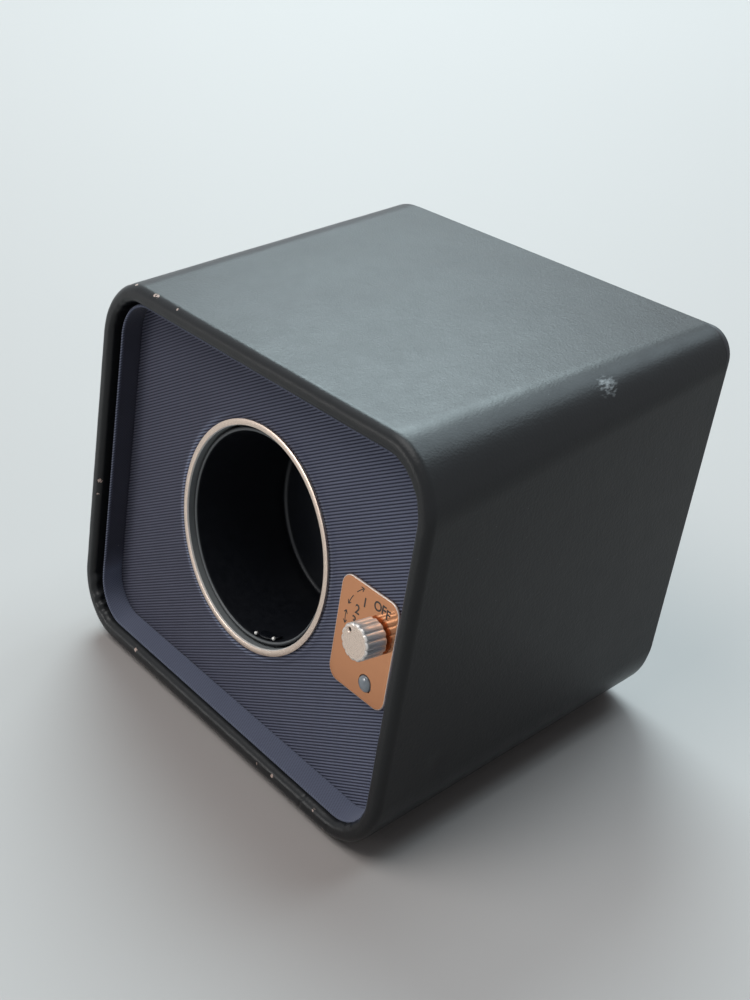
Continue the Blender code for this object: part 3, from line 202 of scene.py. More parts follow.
class WinderColours(bpy.types.PropertyGroup):
    """Colours of the finishes."""
    leather: colour("Leather", "Black leather", (0.0100, 0.0108, 0.0120))
    worn: colour("Worn leather", "Backing that shows where the leather is chipped", (0.62, 0.47, 0.41))
    rib: colour("Rib", "Tops of the fabric's ribs", (0.156, 0.160, 0.224))
    # Painted light: a lighter colour laid on the fabric where it is lit, on the ledge, the fold, the bead and the
    # face's right side
    painted_light: colour("Painted light on fabric", "Lighter colour painted where the fabric is lit", (0.42, 0.48, 0.68))
    # Painted shade: the dark colour given to the grooves between the ribs
    groove: colour("Groove", "Grooves between the ribs", (0.022, 0.023, 0.042))
    # Partly painted reflection: the ring's warm tint stands partly for a warm wooden surface mirrored in it; the
    # knob's face takes it too
    nickel: colour("Nickel", "Satin ring", (0.76, 0.615, 0.52))
    # Painted highlight: a pale colour on the ring's chamfer, the plate's edge, the catch's studs and the knob's
    # eased edge
    edge: colour("Bright edge", "Painted highlight on edges that catch the light", (0.95, 0.92, 0.88))
    bore: colour("Bore", "Dull inside of the ring", (0.26, 0.28, 0.29))
    # Partly painted reflection: the plate's copper tint stands partly for a warm wooden surface mirrored in it
    copper: colour("Copper", "Polished plate", (0.68, 0.31, 0.16))
    chrome: colour("Chrome", "Plated knob", (0.88, 0.92, 0.92))
    plastic: colour("Plastic", "Black moulded plastic", (0.005, 0.006, 0.009))
    lens: colour("Lens", "Pilot light", (0.36, 0.42, 0.48))
    ink: colour("Ink", "Printed marks", (0.030, 0.022, 0.018))
    floor: colour("Floor", "Pale floor", (0.530, 0.490, 0.475))


GROUPS = {"winder_case": WinderCase, "winder_fabric": WinderFabric, "winder_metal": WinderMetal,
          "winder_colours": WinderColours}


def on_face(across, up, depth):
    """Points from their measures across, up and in: middle + across * A + up * U + depth * N."""
    measures = np.stack(np.broadcast_arrays(across, up, depth), axis=-1)
    return MIDDLE + measures @ AXES


def arc(centre, radius, start, end, steps):
    """Points on a circular arc: centre + radius * (cos a, sin a), from the start angle to the end."""
    angle = np.linspace(start, end, steps + 1)
    return np.stack((centre[0] + radius * np.cos(angle), centre[1] + radius * np.sin(angle)), axis=1)


def path(*stretches):
    """One list of points from arcs and single points laid end to end."""
    return np.concatenate([np.atleast_2d(np.asarray(stretch, float)) for stretch in stretches])


def turned(profile, sides, across=0.0, up=0.0):
    """A profile of (radius, depth) turned round an axis along the drum's.

    P(i, a) = (across + r_i cos a, up + r_i sin a, depth_i), for a from 0 to a full turn.
    """
    angle = np.linspace(0, TURN, sides + 1)
    radius, depth = profile.T[:, :, None]
    return on_face(across + radius * np.cos(angle), up + radius * np.sin(angle), depth)


def waves(points, length, seed, count=8):
    """Smooth unevenness of about -1 to 1: plane waves of one length in seeded directions, added up."""
    draw = np.random.default_rng(seed)
    total = np.zeros(points.shape[:-1])
    for direction in draw.normal(size=(count, 3)):
        step = direction * TURN / (length * np.linalg.norm(direction))
        total += np.sin(points @ step + draw.uniform(0, TURN))
    return total / math.sqrt(count)


def bell(distance, width):
    """A smooth bump that is 1 in the middle: exp(-(distance / width) squared)."""
    return np.exp(-(distance / width) ** 2)


def unit(vectors):
    """Vectors brought to a length of 1."""
    return vectors / np.linalg.norm(vectors, axis=-1, keepdims=True)


def run(points):
    """Length of a line of points from its first point to each of them."""
    return np.concatenate(([0], np.cumsum(np.linalg.norm(np.diff(points, axis=0), axis=1))))


def straight(radius, depths):
    """Points of a section at one radius or inset and at several depths."""
    return np.stack((np.full(len(depths), radius), depths), axis=1)


def quads(rows, columns, first):
    """Corner numbers of the quads of a grid, counted row by row."""
    index = first + np.arange(rows * columns).reshape(rows, columns)
    corners = (index[:-1, :-1], index[:-1, 1:], index[1:, 1:], index[1:, :-1])
    return np.stack(corners, axis=-1).reshape(-1, 4)


def surface(name, patches, layers=None, lay=None, sharp=40.0):
    """One closed piece from grids of points, skinned with quads and welded where they meet.

    layers holds named values and lay the flat pattern places, one array for each grid.
    """
    points = np.concatenate([patch.reshape(-1, 3) for patch in patches])
    firsts = np.cumsum([0] + [patch.shape[0] * patch.shape[1] for patch in patches[:-1]])
    faces = np.concatenate([quads(*patch.shape[:2], first) for patch, first in zip(patches, firsts)])
    mesh = bpy.data.meshes.new(name)
    mesh.vertices.add(len(points))
    mesh.vertices.foreach_set("co", points.astype(np.float32).ravel())
    mesh.loops.add(faces.size)
    mesh.loops.foreach_set("vertex_index", faces.astype(np.int32).ravel())
    mesh.polygons.add(len(faces))
    mesh.polygons.foreach_set("loop_start", np.arange(0, faces.size, 4, dtype=np.int32))
    mesh.update(calc_edges=True)
    for layer, values in (layers or {}).items():
        data = np.concatenate([np.asarray(value).ravel() for value in values]).astype(np.float32)
        mesh.attributes.new(layer, 'FLOAT', 'POINT').data.foreach_set("value", data)
    if lay is not None:
        flat = np.concatenate([value.reshape(-1, 2) for value in lay])[faces.ravel()]
        mesh.uv_layers.new(name="lay").data.foreach_set("uv", flat.astype(np.float32).ravel())
    weld(mesh)
    mesh.set_sharp_from_angle(angle=math.radians(sharp))
    return linked(name, mesh)


def weld(mesh):
    """Merge the points that meet, point the faces outwards and shade them smooth."""
    solid = bmesh.new()
    solid.from_mesh(mesh)
    bmesh.ops.remove_doubles(solid, verts=solid.verts, dist=WELD)
    bmesh.ops.recalc_face_normals(solid, faces=solid.faces)
    solid.to_mesh(mesh)
    solid.free()
    mesh.shade_smooth()


def linked(name, data):
    """A new object in the scene for a mesh, a letter, a lamp or a camera."""
    piece = bpy.data.objects.new(name, data)
    bpy.context.scene.collection.objects.link(piece)
    return piece


def dress(piece, finish, body, slot, *nodes):
    """Give a piece its finish and the body it rides on, and hide the CAD nodes that it stands for."""
    piece.data.materials.append(finish)
    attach(piece, body)
    if nodes:
        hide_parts(*nodes)


class Finish:
    """A material whose Principled shader is fed by a few procedural nodes."""

    def __init__(self, name, base, roughness, metallic=0.0, **more):
        self.material = bpy.data.materials.new(name)
        self.material.use_nodes = True
        self.tree = self.material.node_tree
        self.shader = self.tree.nodes["Principled BSDF"]
        sockets = {"Base Color": (*base, 1.0), "Roughness": roughness, "Metallic": metallic}
        sockets.update({key.replace("_", " "): value for key, value in more.items()})
        for socket, value in sockets.items():
            self.shader.inputs[socket].default_value = value
        self.object = self.add("TexCoord").outputs["Object"]

    def add(self, kind, inputs=None, **settings):
        """A node of a kind, with its settings and its inputs set or linked."""
        node = self.tree.nodes.new("ShaderNode" + kind)
        for key, value in settings.items():
            setattr(node, key, value)
        for key, value in (inputs or {}).items():
            if isinstance(value, bpy.types.NodeSocket):
                self.tree.links.new(value, node.inputs[key])
            else:
                node.inputs[key].default_value = value
        return node

    def feed(self, socket, output):
        """Link an output to one of the shader's sockets."""
        self.tree.links.new(output, self.shader.inputs[socket])

    def layer(self, name):
        """A named value kept on the piece's points."""
        return self.add("Attribute", attribute_name=name).outputs["Fac"]

    def noise(self, grain, detail=3.0, vector=None):
        """Noise whose lumps are about one grain across."""
        inputs = {"Vector": vector or self.object, "Scale": 1.0 / grain, "Detail": detail}
        return self.add("TexNoise", inputs).outputs["Fac"]

    def cells(self, grain, feature='F1', vector=None):
        """Distances in a pattern of cells about one grain across."""
        inputs = {"Vector": vector or self.object, "Scale": 1.0 / grain}
        return self.add("TexVoronoi", inputs, feature=feature).outputs["Distance"]

    def flat(self):
        """Places on the piece's own flat pattern."""
        return self.add("UVMap", uv_map="lay").outputs["UV"]

    def combine(self, first, operation, second):
        """One arithmetic step on two values."""
        return self.add("Math", {0: first, 1: second}, operation=operation).outputs[0]

    def span(self, value, low, high, start=0.0, end=1.0):
        """A value carried from one range to another and held at its ends."""
        inputs = {"Value": value, "From Min": low, "From Max": high, "To Min": start, "To Max": end}
        return self.add("MapRange", inputs).outputs["Result"]

    def mix(self, share, first, second):
        """A colour between two colours."""
        inputs = {0: share}
        for key, value in ((6, first), (7, second)):
            inputs[key] = value if isinstance(value, bpy.types.NodeSocket) else (*value, 1.0)
        return self.add("Mix", inputs, data_type='RGBA').outputs[2]

    def stretched(self, scale, vector=None):
        """Places squeezed or stretched along each axis."""
        inputs = {"Vector": vector or self.object, "Scale": scale}
        return self.add("Mapping", inputs).outputs["Vector"]

    def bump(self, height, depth, strength=1.0):
        """Fine relief of a depth in metres."""
        inputs = {"Height": height, "Distance": depth, "Strength": strength}
        self.feed("Normal", self.add("Bump", inputs).outputs["Normal"])


def shade(base, factor):
    """A colour made darker or lighter."""
    return tuple(min(1.0, factor * part) for part in base)


# Colours of small marks: dust, lint, rubbed leather, painted shade in the bottom of the knob's dimple, and felt
DUST, LINT, RUBBED = (0.30, 0.31, 0.32), (0.40, 0.40, 0.42), (0.55, 0.58, 0.60)
PIT_SHADE, FELT = (0.02, 0.02, 0.02), (0.018, 0.018, 0.019)


def leather_finish(colours):
    """Black leather: fine pebbled grain, soft sheen, chips, a scuff and a little dust."""
    base = colours.leather
    finish = Finish("black_leather", base, 0.36, Specular_IOR_Level=0.31)
    tone = finish.mix(finish.noise(0.02, 3.0), shade(base, 0.90), shade(base, 1.10))
    flake = finish.span(finish.noise(0.0008, 4.0), 0.38, 0.54)
    chip = finish.combine(finish.layer("chip"), 'MULTIPLY', flake)
    tone = finish.mix(finish.span(chip, 0.34, 0.50), tone, colours.worn)
    scratch = finish.noise(0.0009, 3.0, finish.stretched((1.0, 0.45, 1.0)))
    scuff = finish.combine(finish.layer("scuff"), 'MULTIPLY', finish.span(scratch, 0.36, 0.70))
    tone = finish.mix(finish.span(scuff, 0.10, 0.80, 0.0, 0.90), tone, RUBBED)
    dust = finish.span(finish.cells(0.0062), 0.026, 0.016, 0.0, 0.25)
    finish.feed("Base Color", finish.mix(dust, tone, DUST))
    finish.feed("Roughness", finish.span(finish.noise(0.006, 5.0), 0.3, 0.7, 0.33, 0.39))
    pebble = finish.cells(0.00065, 'SMOOTH_F1')
    grain = finish.combine(pebble, 'ADD', finish.noise(0.0018, 4.0))
    finish.bump(grain, 0.00006, 0.55)
    return finish.material


def fabric_finish(colours, name, rib, stitch, contrast):
    """Ribbed fabric: dark grooves that are painted shade, lighter ribs, short slanted stitches along them, and
    painted light where the fabric is lit.
    """
    finish = Finish(name, rib, 0.88, Specular_IOR_Level=0.25, Sheen_Weight=0.15, Sheen_Roughness=0.4)
    flat = finish.flat()
    worn = finish.noise(0.012, 4.0)
    top = finish.mix(worn, shade(rib, 0.86), shade(rib, 1.14))
    # Painted light: the fabric is lightened where its layer says it is lit
    top = finish.mix(finish.layer("painted_light"), top, colours.painted_light)
    weave = {"Vector": flat, "Scale": 1.0 / stitch, "Distortion": 1.2, "Detail": 2.0, "Detail Scale": 2.0}
    yarn = finish.add("TexWave", weave, bands_direction='DIAGONAL').outputs["Fac"]
    top = finish.mix(finish.span(yarn, 0.0, 1.0, 0.0, contrast), top, colours.groove)
    # Painted shade: darker towards the grooves between the ribs
    tone = finish.mix(finish.span(finish.layer("rib"), 0.15, 0.85), colours.groove, top)
    lint = finish.span(finish.cells(0.0085), 0.026, 0.014, 0.0, 0.4)
    finish.feed("Base Color", finish.mix(lint, tone, LINT))
    finish.bump(finish.combine(yarn, 'ADD', finish.noise(0.0003, 2.0)), 0.00005, 0.8)
    return finish.material


def ring_finish(colours):
    """Satin metal with fine lines along its turning, a bright inner edge that is a painted highlight, and a dull
    grey bore; its warm tint is partly a painted reflection of a warm wooden surface.
    """
    base = colours.nickel
    finish = Finish("satin_nickel", base, 0.28, 1.0)
    flat = finish.flat()
    lines = finish.noise(0.00012, 2.0, finish.stretched((0.02, 1.0, 1.0), flat))
    bore, edge = finish.layer("bore"), finish.layer("edge")
    tone = finish.mix(lines, shade(base, 0.98), shade(base, 1.02))
    tone = finish.mix(bore, tone, colours.bore)
    finish.feed("Base Color", finish.mix(edge, tone, colours.edge))
    dull = finish.combine(bore, 'MAXIMUM', edge)
    finish.feed("Metallic", finish.span(dull, 0.0, 1.0, 1.0, 0.0))
    rough = finish.span(lines, 0.3, 0.7, 0.26, 0.30)
    finish.feed("Roughness", finish.combine(rough, 'ADD', finish.span(dull, 0.0, 1.0, 0.0, 0.25)))
    return finish.material


def plate_finish(colours):
    """Bright polished metal with faint smears and a painted highlight along its edge; its copper tint is partly a
    painted reflection of a warm wooden surface.
    """
    base = colours.copper
    finish = Finish("copper_plate", base, 0.09, 1.0)
    smear = finish.noise(0.006, 5.0)
    edge = finish.layer("edge")
    tone = finish.mix(smear, shade(base, 0.96), shade(base, 1.03))
    finish.feed("Base Color", finish.mix(edge, tone, colours.edge))
    finish.feed("Metallic", finish.span(edge, 0.0, 1.0, 1.0, 0.2))
    rough = finish.span(smear, 0.35, 0.7, 0.06, 0.135)
    finish.feed("Roughness", finish.combine(rough, 'ADD', finish.span(edge, 0.0, 1.0, 0.0, 0.3)))
    return finish.material


def plastic_finish(name, base, roughness, dusty=False, edge=None):
    """Moulded plastic with a fine spark texture, dust specks where it lies open, and perhaps a painted highlight
    along an edge.
    """
    finish = Finish(name, base, roughness)
    tone = finish.mix(finish.noise(0.004, 4.0), shade(base, 0.8), shade(base, 1.25))
    if dusty:
        speck = finish.span(finish.cells(0.0055), 0.045, 0.020, 0.0, 0.22)
        tone = finish.mix(speck, tone, DUST)
    if edge:
        tone = finish.mix(finish.layer("edge"), tone, edge)
    finish.feed("Base Color", tone)
    skin = finish.noise(0.002, 3.0)
    finish.feed("Roughness", finish.span(skin, 0.3, 0.7, roughness * 0.9, roughness * 1.12))
    finish.bump(finish.noise(0.0004, 2.0), 0.00002, 0.4)
    return finish.material


def board_finish(name, base):
    """Plain fibre board or felt: matted short fibres."""
    finish = Finish(name, base, 0.92)
    fibre = finish.noise(0.0006, 5.0, finish.stretched((1.0, 0.35, 1.0)))
    finish.feed("Base Color", finish.mix(fibre, shade(base, 0.6), shade(base, 1.35)))
    finish.bump(fibre, 0.00012, 0.8)
    return finish.material


def metal_finish(name, base, roughness):
    """Turned or plated metal with a fine uneven skin."""
    finish = Finish(name, base, roughness, 1.0)
    skin = finish.noise(0.0012, 4.0, finish.stretched((1.0, 0.25, 1.0)))
    finish.feed("Base Color", finish.mix(skin, shade(base, 0.9), shade(base, 1.06)))
    finish.feed("Roughness", finish.span(skin, 0.3, 0.7, roughness * 0.8, roughness * 1.3))
    return finish.material


def lens_finish(colours):
    """A clear blue-grey dome, a little cloudy inside."""
    base = colours.lens
    finish = Finish("clear_lens", base, 0.08, IOR=1.49, Transmission_Weight=0.35, Coat_Weight=1.0,
                    Coat_Roughness=0.03)
    cloudy = finish.noise(0.0012, 2.0)
    finish.feed("Base Color", finish.mix(cloudy, shade(base, 0.85), shade(base, 1.2)))
    return finish.material


def ink_finish(colours):
    """Thin dark print, slightly uneven."""
    base = colours.ink
    finish = Finish("dark_print", base, 0.5)
    finish.feed("Base Color", finish.mix(finish.noise(0.0004, 3.0), shade(base, 0.7), shade(base, 1.5)))
    return finish.material


def case_ring(case, insets, depths, tight, arc_steps, top, sides, bottom):
    """Rings round the case, one for each inset and depth, as a grid of points.

    A ring is a rectangle drawn in by its inset, with quarter arcs of four radii at its
    corners; the upper right radius goes evenly from the corner radius at the front to the
    tight one at the back. top, sides and bottom give the places on the straights, 0 to 1.
    The ring at depth d leans with the front: y = y0 + (d - recess + (z - z0) sin) / cos.
    """
    inset = np.asarray(insets, float)[:, None]
    depth = np.asarray(depths, float)[:, None]
    half_width = (CASE_HIGH[0] - CASE_LOW[0]) / 2 - inset
    half_height = (CASE_HIGH[2] - CASE_LOW[2]) / 2 - inset
    share = depth / CASE_DEPTH
    radii = [case.corner + (tight - case.corner) * share - inset] + 3 * [case.corner - inset]
    arcs = []
    for quarter, ((side, end), radius) in enumerate(zip(((1, 1), (-1, 1), (-1, -1), (1, -1)), radii)):
        angle = (quarter + np.linspace(0, 1, arc_steps + 1)) * QUARTER
        arcs.append((side * (half_width - radius) + radius * np.cos(angle),
                     end * (half_height - radius) + radius * np.sin(angle)))
    across, rise = [], []
    for quarter, places in enumerate((top, sides, bottom, sides)):
        near, far = arcs[quarter], arcs[(quarter + 1) % 4]
        for lists, first, second in ((across, near[0], far[0]), (rise, near[1], far[1])):
            lists += [first, first[:, -1:] * (1 - places) + second[:, :1] * places]
    x = np.concatenate(across + [arcs[0][0][:, :1]], axis=1)
    z = np.concatenate(rise + [arcs[0][1][:, :1]], axis=1) + (CASE_HIGH[2] + CASE_LOW[2]) / 2
    y = MIDDLE[1] + (depth - case.recess + (z - MIDDLE[2]) * SIN) / COS
    return np.stack((x, y, z), axis=-1)


def inner(count):
    """Evenly spaced places between 0 and 1, without the ends."""
    return np.linspace(0, 1, count + 2)[1:-1]


def rim_section(case, offset, long_rows, roll_steps, short_rows):
    """Section of the rolled rim as (inset, depth): the outside, two quarter rolls and the turn-in."""
    outer, rolled = case.outer_roll, case.inner_roll
    along = np.linspace(1, 0, long_rows + 1)[:-1] ** 1.5
    return path(straight(offset, outer + (CASE_DEPTH - outer) * along),
                arc((outer, outer), outer - offset, 2 * QUARTER, 3 * QUARTER, roll_steps),
                arc((case.rim - rolled, rolled), rolled - offset, 3 * QUARTER, 4 * QUARTER, roll_steps),
                straight(case.rim - offset, np.linspace(rolled, case.turn_in, short_rows + 1)[1:]))


# Marks of wear, as points on the leather in metres: chips along the rim with their sizes,
# a scuff on the upper right edge and a dent in the right side
CHIPS = np.array(((-0.0704, -0.0446, 0.1278), (-0.0660, -0.0451, 0.1292), (-0.0541, -0.0454, 0.1296),
                  (-0.0529, -0.0455, 0.1295), (-0.0407, -0.0458, 0.1294), (-0.0774, -0.0611, 0.0562),
                  (-0.0776, -0.0624, 0.0511), (-0.0452, -0.0718, 0.0062), (0.0278, -0.0723, 0.0050),
                  (0.0357, -0.0721, 0.0056), (0.0565, -0.0716, 0.0065), (0.0615, -0.0722, 0.0028)))
CHIP_SIZES = np.array((1.1, 0.7, 0.9, 0.9, 0.6, 0.9, 0.6, 0.9, 0.6, 0.7, 0.7, 0.6)) / 1000
CHIP_DEPTH = 0.00008
SCUFF = np.array((0.0764, 0.0215, 0.1265))
SCUFF_SIZE = 0.0030
DENT = np.array((0.0825, -0.0462, 0.0295))
DENT_SIZE = 0.0035
DENT_DEPTH = 0.00025

# Columns of the leather's grid: their spacing, and how far they crowd round a mark
COLUMN_SPACING, MARK_REACH = 0.00105, 0.0015

# Relief of the leather: lengths and seeds of its waves, the width of the rim that they fill,
# and the depths over which it fades towards the rim's roll and towards the back
SLOW_WAVE, SHORT_WAVE, RIM_WAVE = (0.034, 3), (0.012, 5), (0.006, 8)
RIM_WIDTH, RIM_FADE, BACK_FADE = 0.003, 0.004, 0.004

# Gathers: the depth where they stand highest, the share of their height in every corner but the lower
# left, the folds that would fill a full turn, and how far and how often in a turn the folds sway
GATHER_DEPTH, GATHER_SHARE = 0.003, 0.35
GATHER_FOLDS, FOLD_SWAY, FOLD_SWAYS = 22, 1.2, 7

# Seam: its margin above the rim, reach into the recess, fade there and slant, then the widths
# of its step, of the lip beside it and of its cut, and the lip's height as a share of the cut's depth
SEAM_MARGIN, SEAM_REACH, SEAM_FADE, SEAM_SLANT = 0.001, 0.022, 0.006, 0.15
SEAM_STEP, SEAM_LIP, SEAM_CUT, LIP_SHARE = 0.0003, 0.006, 0.0004, 0.45


def beside(places, length):
    """Places on a straight, spaced evenly and crowded round some of them, as shares of its length."""
    crowd = np.asarray(places)[:, None] + np.linspace(-MARK_REACH, MARK_REACH, 7)
    return np.unique(np.concatenate((inner(int(length / COLUMN_SPACING)), crowd.ravel() / length)))


def case_straights(case):
    """Half width and half height of the case between its corners, and the height of its middle."""
    half = (CASE_HIGH - CASE_LOW) / 2
    return half[0] - case.corner, half[2] - case.corner, CASE_LOW[2] + half[2]


def leather_places(case):
    """Places of the grid's columns on the top, the sides and the bottom, crowded round the marks."""
    half_x, half_z, middle_z = case_straights(case)
    x, z = CHIPS[:, 0], CHIPS[:, 2]
    level = np.abs(x) < half_x
    on_top = x[level & (z > middle_z)]
    on_bottom = x[level & (z < CASE_LOW[2] + case.corner / 2)]
    on_left = z[np.abs(z - middle_z) < half_z]
    return (beside(half_x - on_top, 2 * half_x),
            beside(half_z + middle_z - on_left, 2 * half_z),
            beside(half_x + np.append(on_bottom, case.seam_place), 2 * half_x))


def leather_relief(case, grid, inset, depth):
    """Height of the leather: slow waves, gathers in the rim's inner corners, a dent and a seam."""
    half_x, half_z, middle_z = case_straights(case)
    height = case.uneven * (0.7 * waves(grid, *SLOW_WAVE) + 0.3 * waves(grid, *SHORT_WAVE))
    on_rim = bell(inset - case.rim * 0.6, RIM_WIDTH) * bell(depth, RIM_FADE)
    height += on_rim * case.uneven * waves(grid, *RIM_WAVE)

    x, z = grid[..., 0], grid[..., 2] - middle_z
    past_x, past_z = np.abs(x) - half_x, np.abs(z) - half_z
    turn = np.arctan2(past_z, past_x)
    in_corner = (past_x > 0) & (past_z > 0)
    share = np.where((x < 0) & (z < 0), 1.0, GATHER_SHARE)
    gather = np.sin(turn * GATHER_FOLDS + FOLD_SWAY * np.sin(turn * FOLD_SWAYS))
    gather *= np.sin(np.clip(turn, 0, QUARTER) * 2)
    rolled = np.clip((inset - case.rim + case.inner_roll) / case.inner_roll, 0, 1)
    height += case.tuck * in_corner * share * gather * rolled * bell(depth - GATHER_DEPTH, RIM_FADE)
    height -= DENT_DEPTH * bell(np.linalg.norm(grid - DENT, axis=-1), DENT_SIZE)

    low = grid[..., 2] < CASE_LOW[2] + case.rim + SEAM_MARGIN
    near_front = np.clip((SEAM_REACH - depth) / SEAM_FADE, 0, 1)
    off = x - case.seam_place - SEAM_SLANT * (inset - case.rim)
    step = 0.5 * (1 + np.tanh(off / SEAM_STEP))
    lip = LIP_SHARE * step * bell(off, SEAM_LIP)
    return height + low * near_front * case.seam * (lip - bell(off, SEAM_CUT))


def make_leather(case, colours):
    """The leather as one closed shell: the rim's section carried round the case.

    P(i, j) = ring_j(inset_i, depth_i) + h(i, j) * normal, where h is the relief less the chips.
    """
    outside = rim_section(case, 0.0, 70, 9, 8)
    inside = rim_section(case, case.leather, 5, 3, 2)[::-1]
    section = path(outside, inside, outside[0])
    inset, depth = section.T[:, :, None]
    grid = case_ring(case, *section.T, case.tight_corner, 50, *leather_places(case))[:, :-1]
    along = np.roll(grid, -1, 1) - np.roll(grid, 1, 1)
    normal = unit(np.cross(along, np.gradient(grid, axis=0)))
    away = grid[0] - (0.0, 0.0, case_straights(case)[2])
    normal *= np.sign((normal[0] * away * (1, 0, 1)).sum())
    chip = np.zeros(grid.shape[:2])
    for place, width in zip(CHIPS, CHIP_SIZES):
        chip = np.maximum(chip, bell(np.linalg.norm(grid - place, axis=-1), width))
    scuff = bell(np.linalg.norm(grid - SCUFF, axis=-1), SCUFF_SIZE)
    outer_rows = (np.arange(len(section)) < len(outside))[:, None]
    free = outer_rows * np.clip((CASE_DEPTH - depth) / BACK_FADE, 0, 1)
    height = leather_relief(case, grid, inset, depth) - CHIP_DEPTH * chip
    grid = grid + (free * height)[..., None] * normal
    grid, chip, scuff = (np.concatenate((layer, layer[:, :1]), axis=1) for layer in (grid, chip, scuff))
    piece = surface("leather_cover", [grid], {"chip": [chip], "scuff": [scuff]})
    dress(piece, leather_finish(colours), "case", "black_leather", "leather_wrap")


# Power inlet: width of its brim, radii of its socket and pin, depths of the brim and the socket,
# and the easing of the socket's and the brim's edges
INLET_BRIM, INLET_SOCKET, INLET_PIN = 0.0018, 0.0032, 0.0010
INLET_BRIM_DEPTH, INLET_DEPTH = 0.0012, 0.009
SOCKET_EASE, BRIM_EASE = 0.0004, 0.0005


def hub_patch(ring, hub, radius, rows, depth):
    """A flat grid from a closed outline in to a round hole.

    P(t, j) = (1 - t) outline_j + t (hub + radius * direction from the hub to outline_j).
    """
    share = np.linspace(0, 1, rows)[:, None, None]
    flat = (1 - share) * ring + share * (hub + radius * unit(ring - hub))
    return on_face(flat[..., 0], flat[..., 1], depth)


def make_rear_panel(case):
    """The rear panel: a brim with a rounded edge, a plug inside the case and a hole for the inlet."""
    hub = (INLET_LOW[:2] + INLET_HIGH[:2]) / 2
    front, back = REAR_LOW[2] + case.recess, REAR_HIGH[2] + case.recess
    brim_front = CASE_DEPTH + GAP
    inset, edge = case.rear_inset, case.rear_edge
    brim = path((inset + edge / 2, brim_front), (inset, brim_front + edge / 2),
                arc((inset + edge, back - edge), edge, math.pi, QUARTER, 6))
    plug = straight(case.rim - case.leather, (front, brim_front))
    counts = (16, inner(40), inner(28), inner(40))
    plug_grid = case_ring(case, *plug.T, case.tight_corner, *counts)
    brim_grid = case_ring(case, *brim.T, case.rear_tight_corner, *counts)
    patches = [plug_grid, np.stack((plug_grid[-1], brim_grid[0])), brim_grid]
    hole = (INLET_HIGH[0] - INLET_LOW[0]) / 2 - INLET_BRIM + GAP
    for ring, depth in ((plug_grid[0], front), (brim_grid[-1], back)):
        patches.append(hub_patch(measured(ring)[:, :2], hub, hole, 24, depth - case.recess))
    mouth = patches[-1][-1]
    turn = np.arctan2(*(measured(mouth) - [*hub, 0])[:, 1::-1].T)
    patches[-2][-1] = on_face(hub[0] + hole * np.cos(turn), hub[1] + hole * np.sin(turn), front - case.recess)
    patches.append(np.stack((patches[-2][-1], mouth)))
    zero = [np.zeros(patch.shape[:2]) for patch in patches]
    piece = surface("rear_cover", patches, {"chip": zero, "scuff": zero})
    dress(piece, bpy.data.materials["black_leather"], "case", "black_leather", "rear_panel")


def rib_wave(place):
    """Section of a row of round ribs, one for each whole place: ((1 + cos(2 pi place)) / 2) ** 0.7."""
    return (0.5 + 0.5 * np.cos(TURN * place)) ** 0.7


# Grid lines on each rib of the liner and of the face, and the slant of the liner's ribs
LINER_LINES, FACE_LINES, LINER_SLANT = 4, 6, 0.6

# Ribs of the liner: their tone in the grooves, darker there as painted shade, its rise to the tops and the tone
# where they are hidden, and how much higher they stand along the fold
GROOVE_TONE, TONE_RISE, HIDDEN_TONE, FOLD_LIFT = 0.45, 0.55, 0.6, 1.5

# Painted light on the fabric: how much on the lower ledge, along the fold, on the bead beside the ring and towards
# the right side, and where on the face that last painted light starts and how wide it is
LEDGE_PAINTED_LIGHT, FOLD_PAINTED_LIGHT, BEAD_PAINTED_LIGHT, SIDE_PAINTED_LIGHT = 0.38, 0.45, 0.85, 0.36
SIDE_START, SIDE_WIDTH = -0.035, 0.11


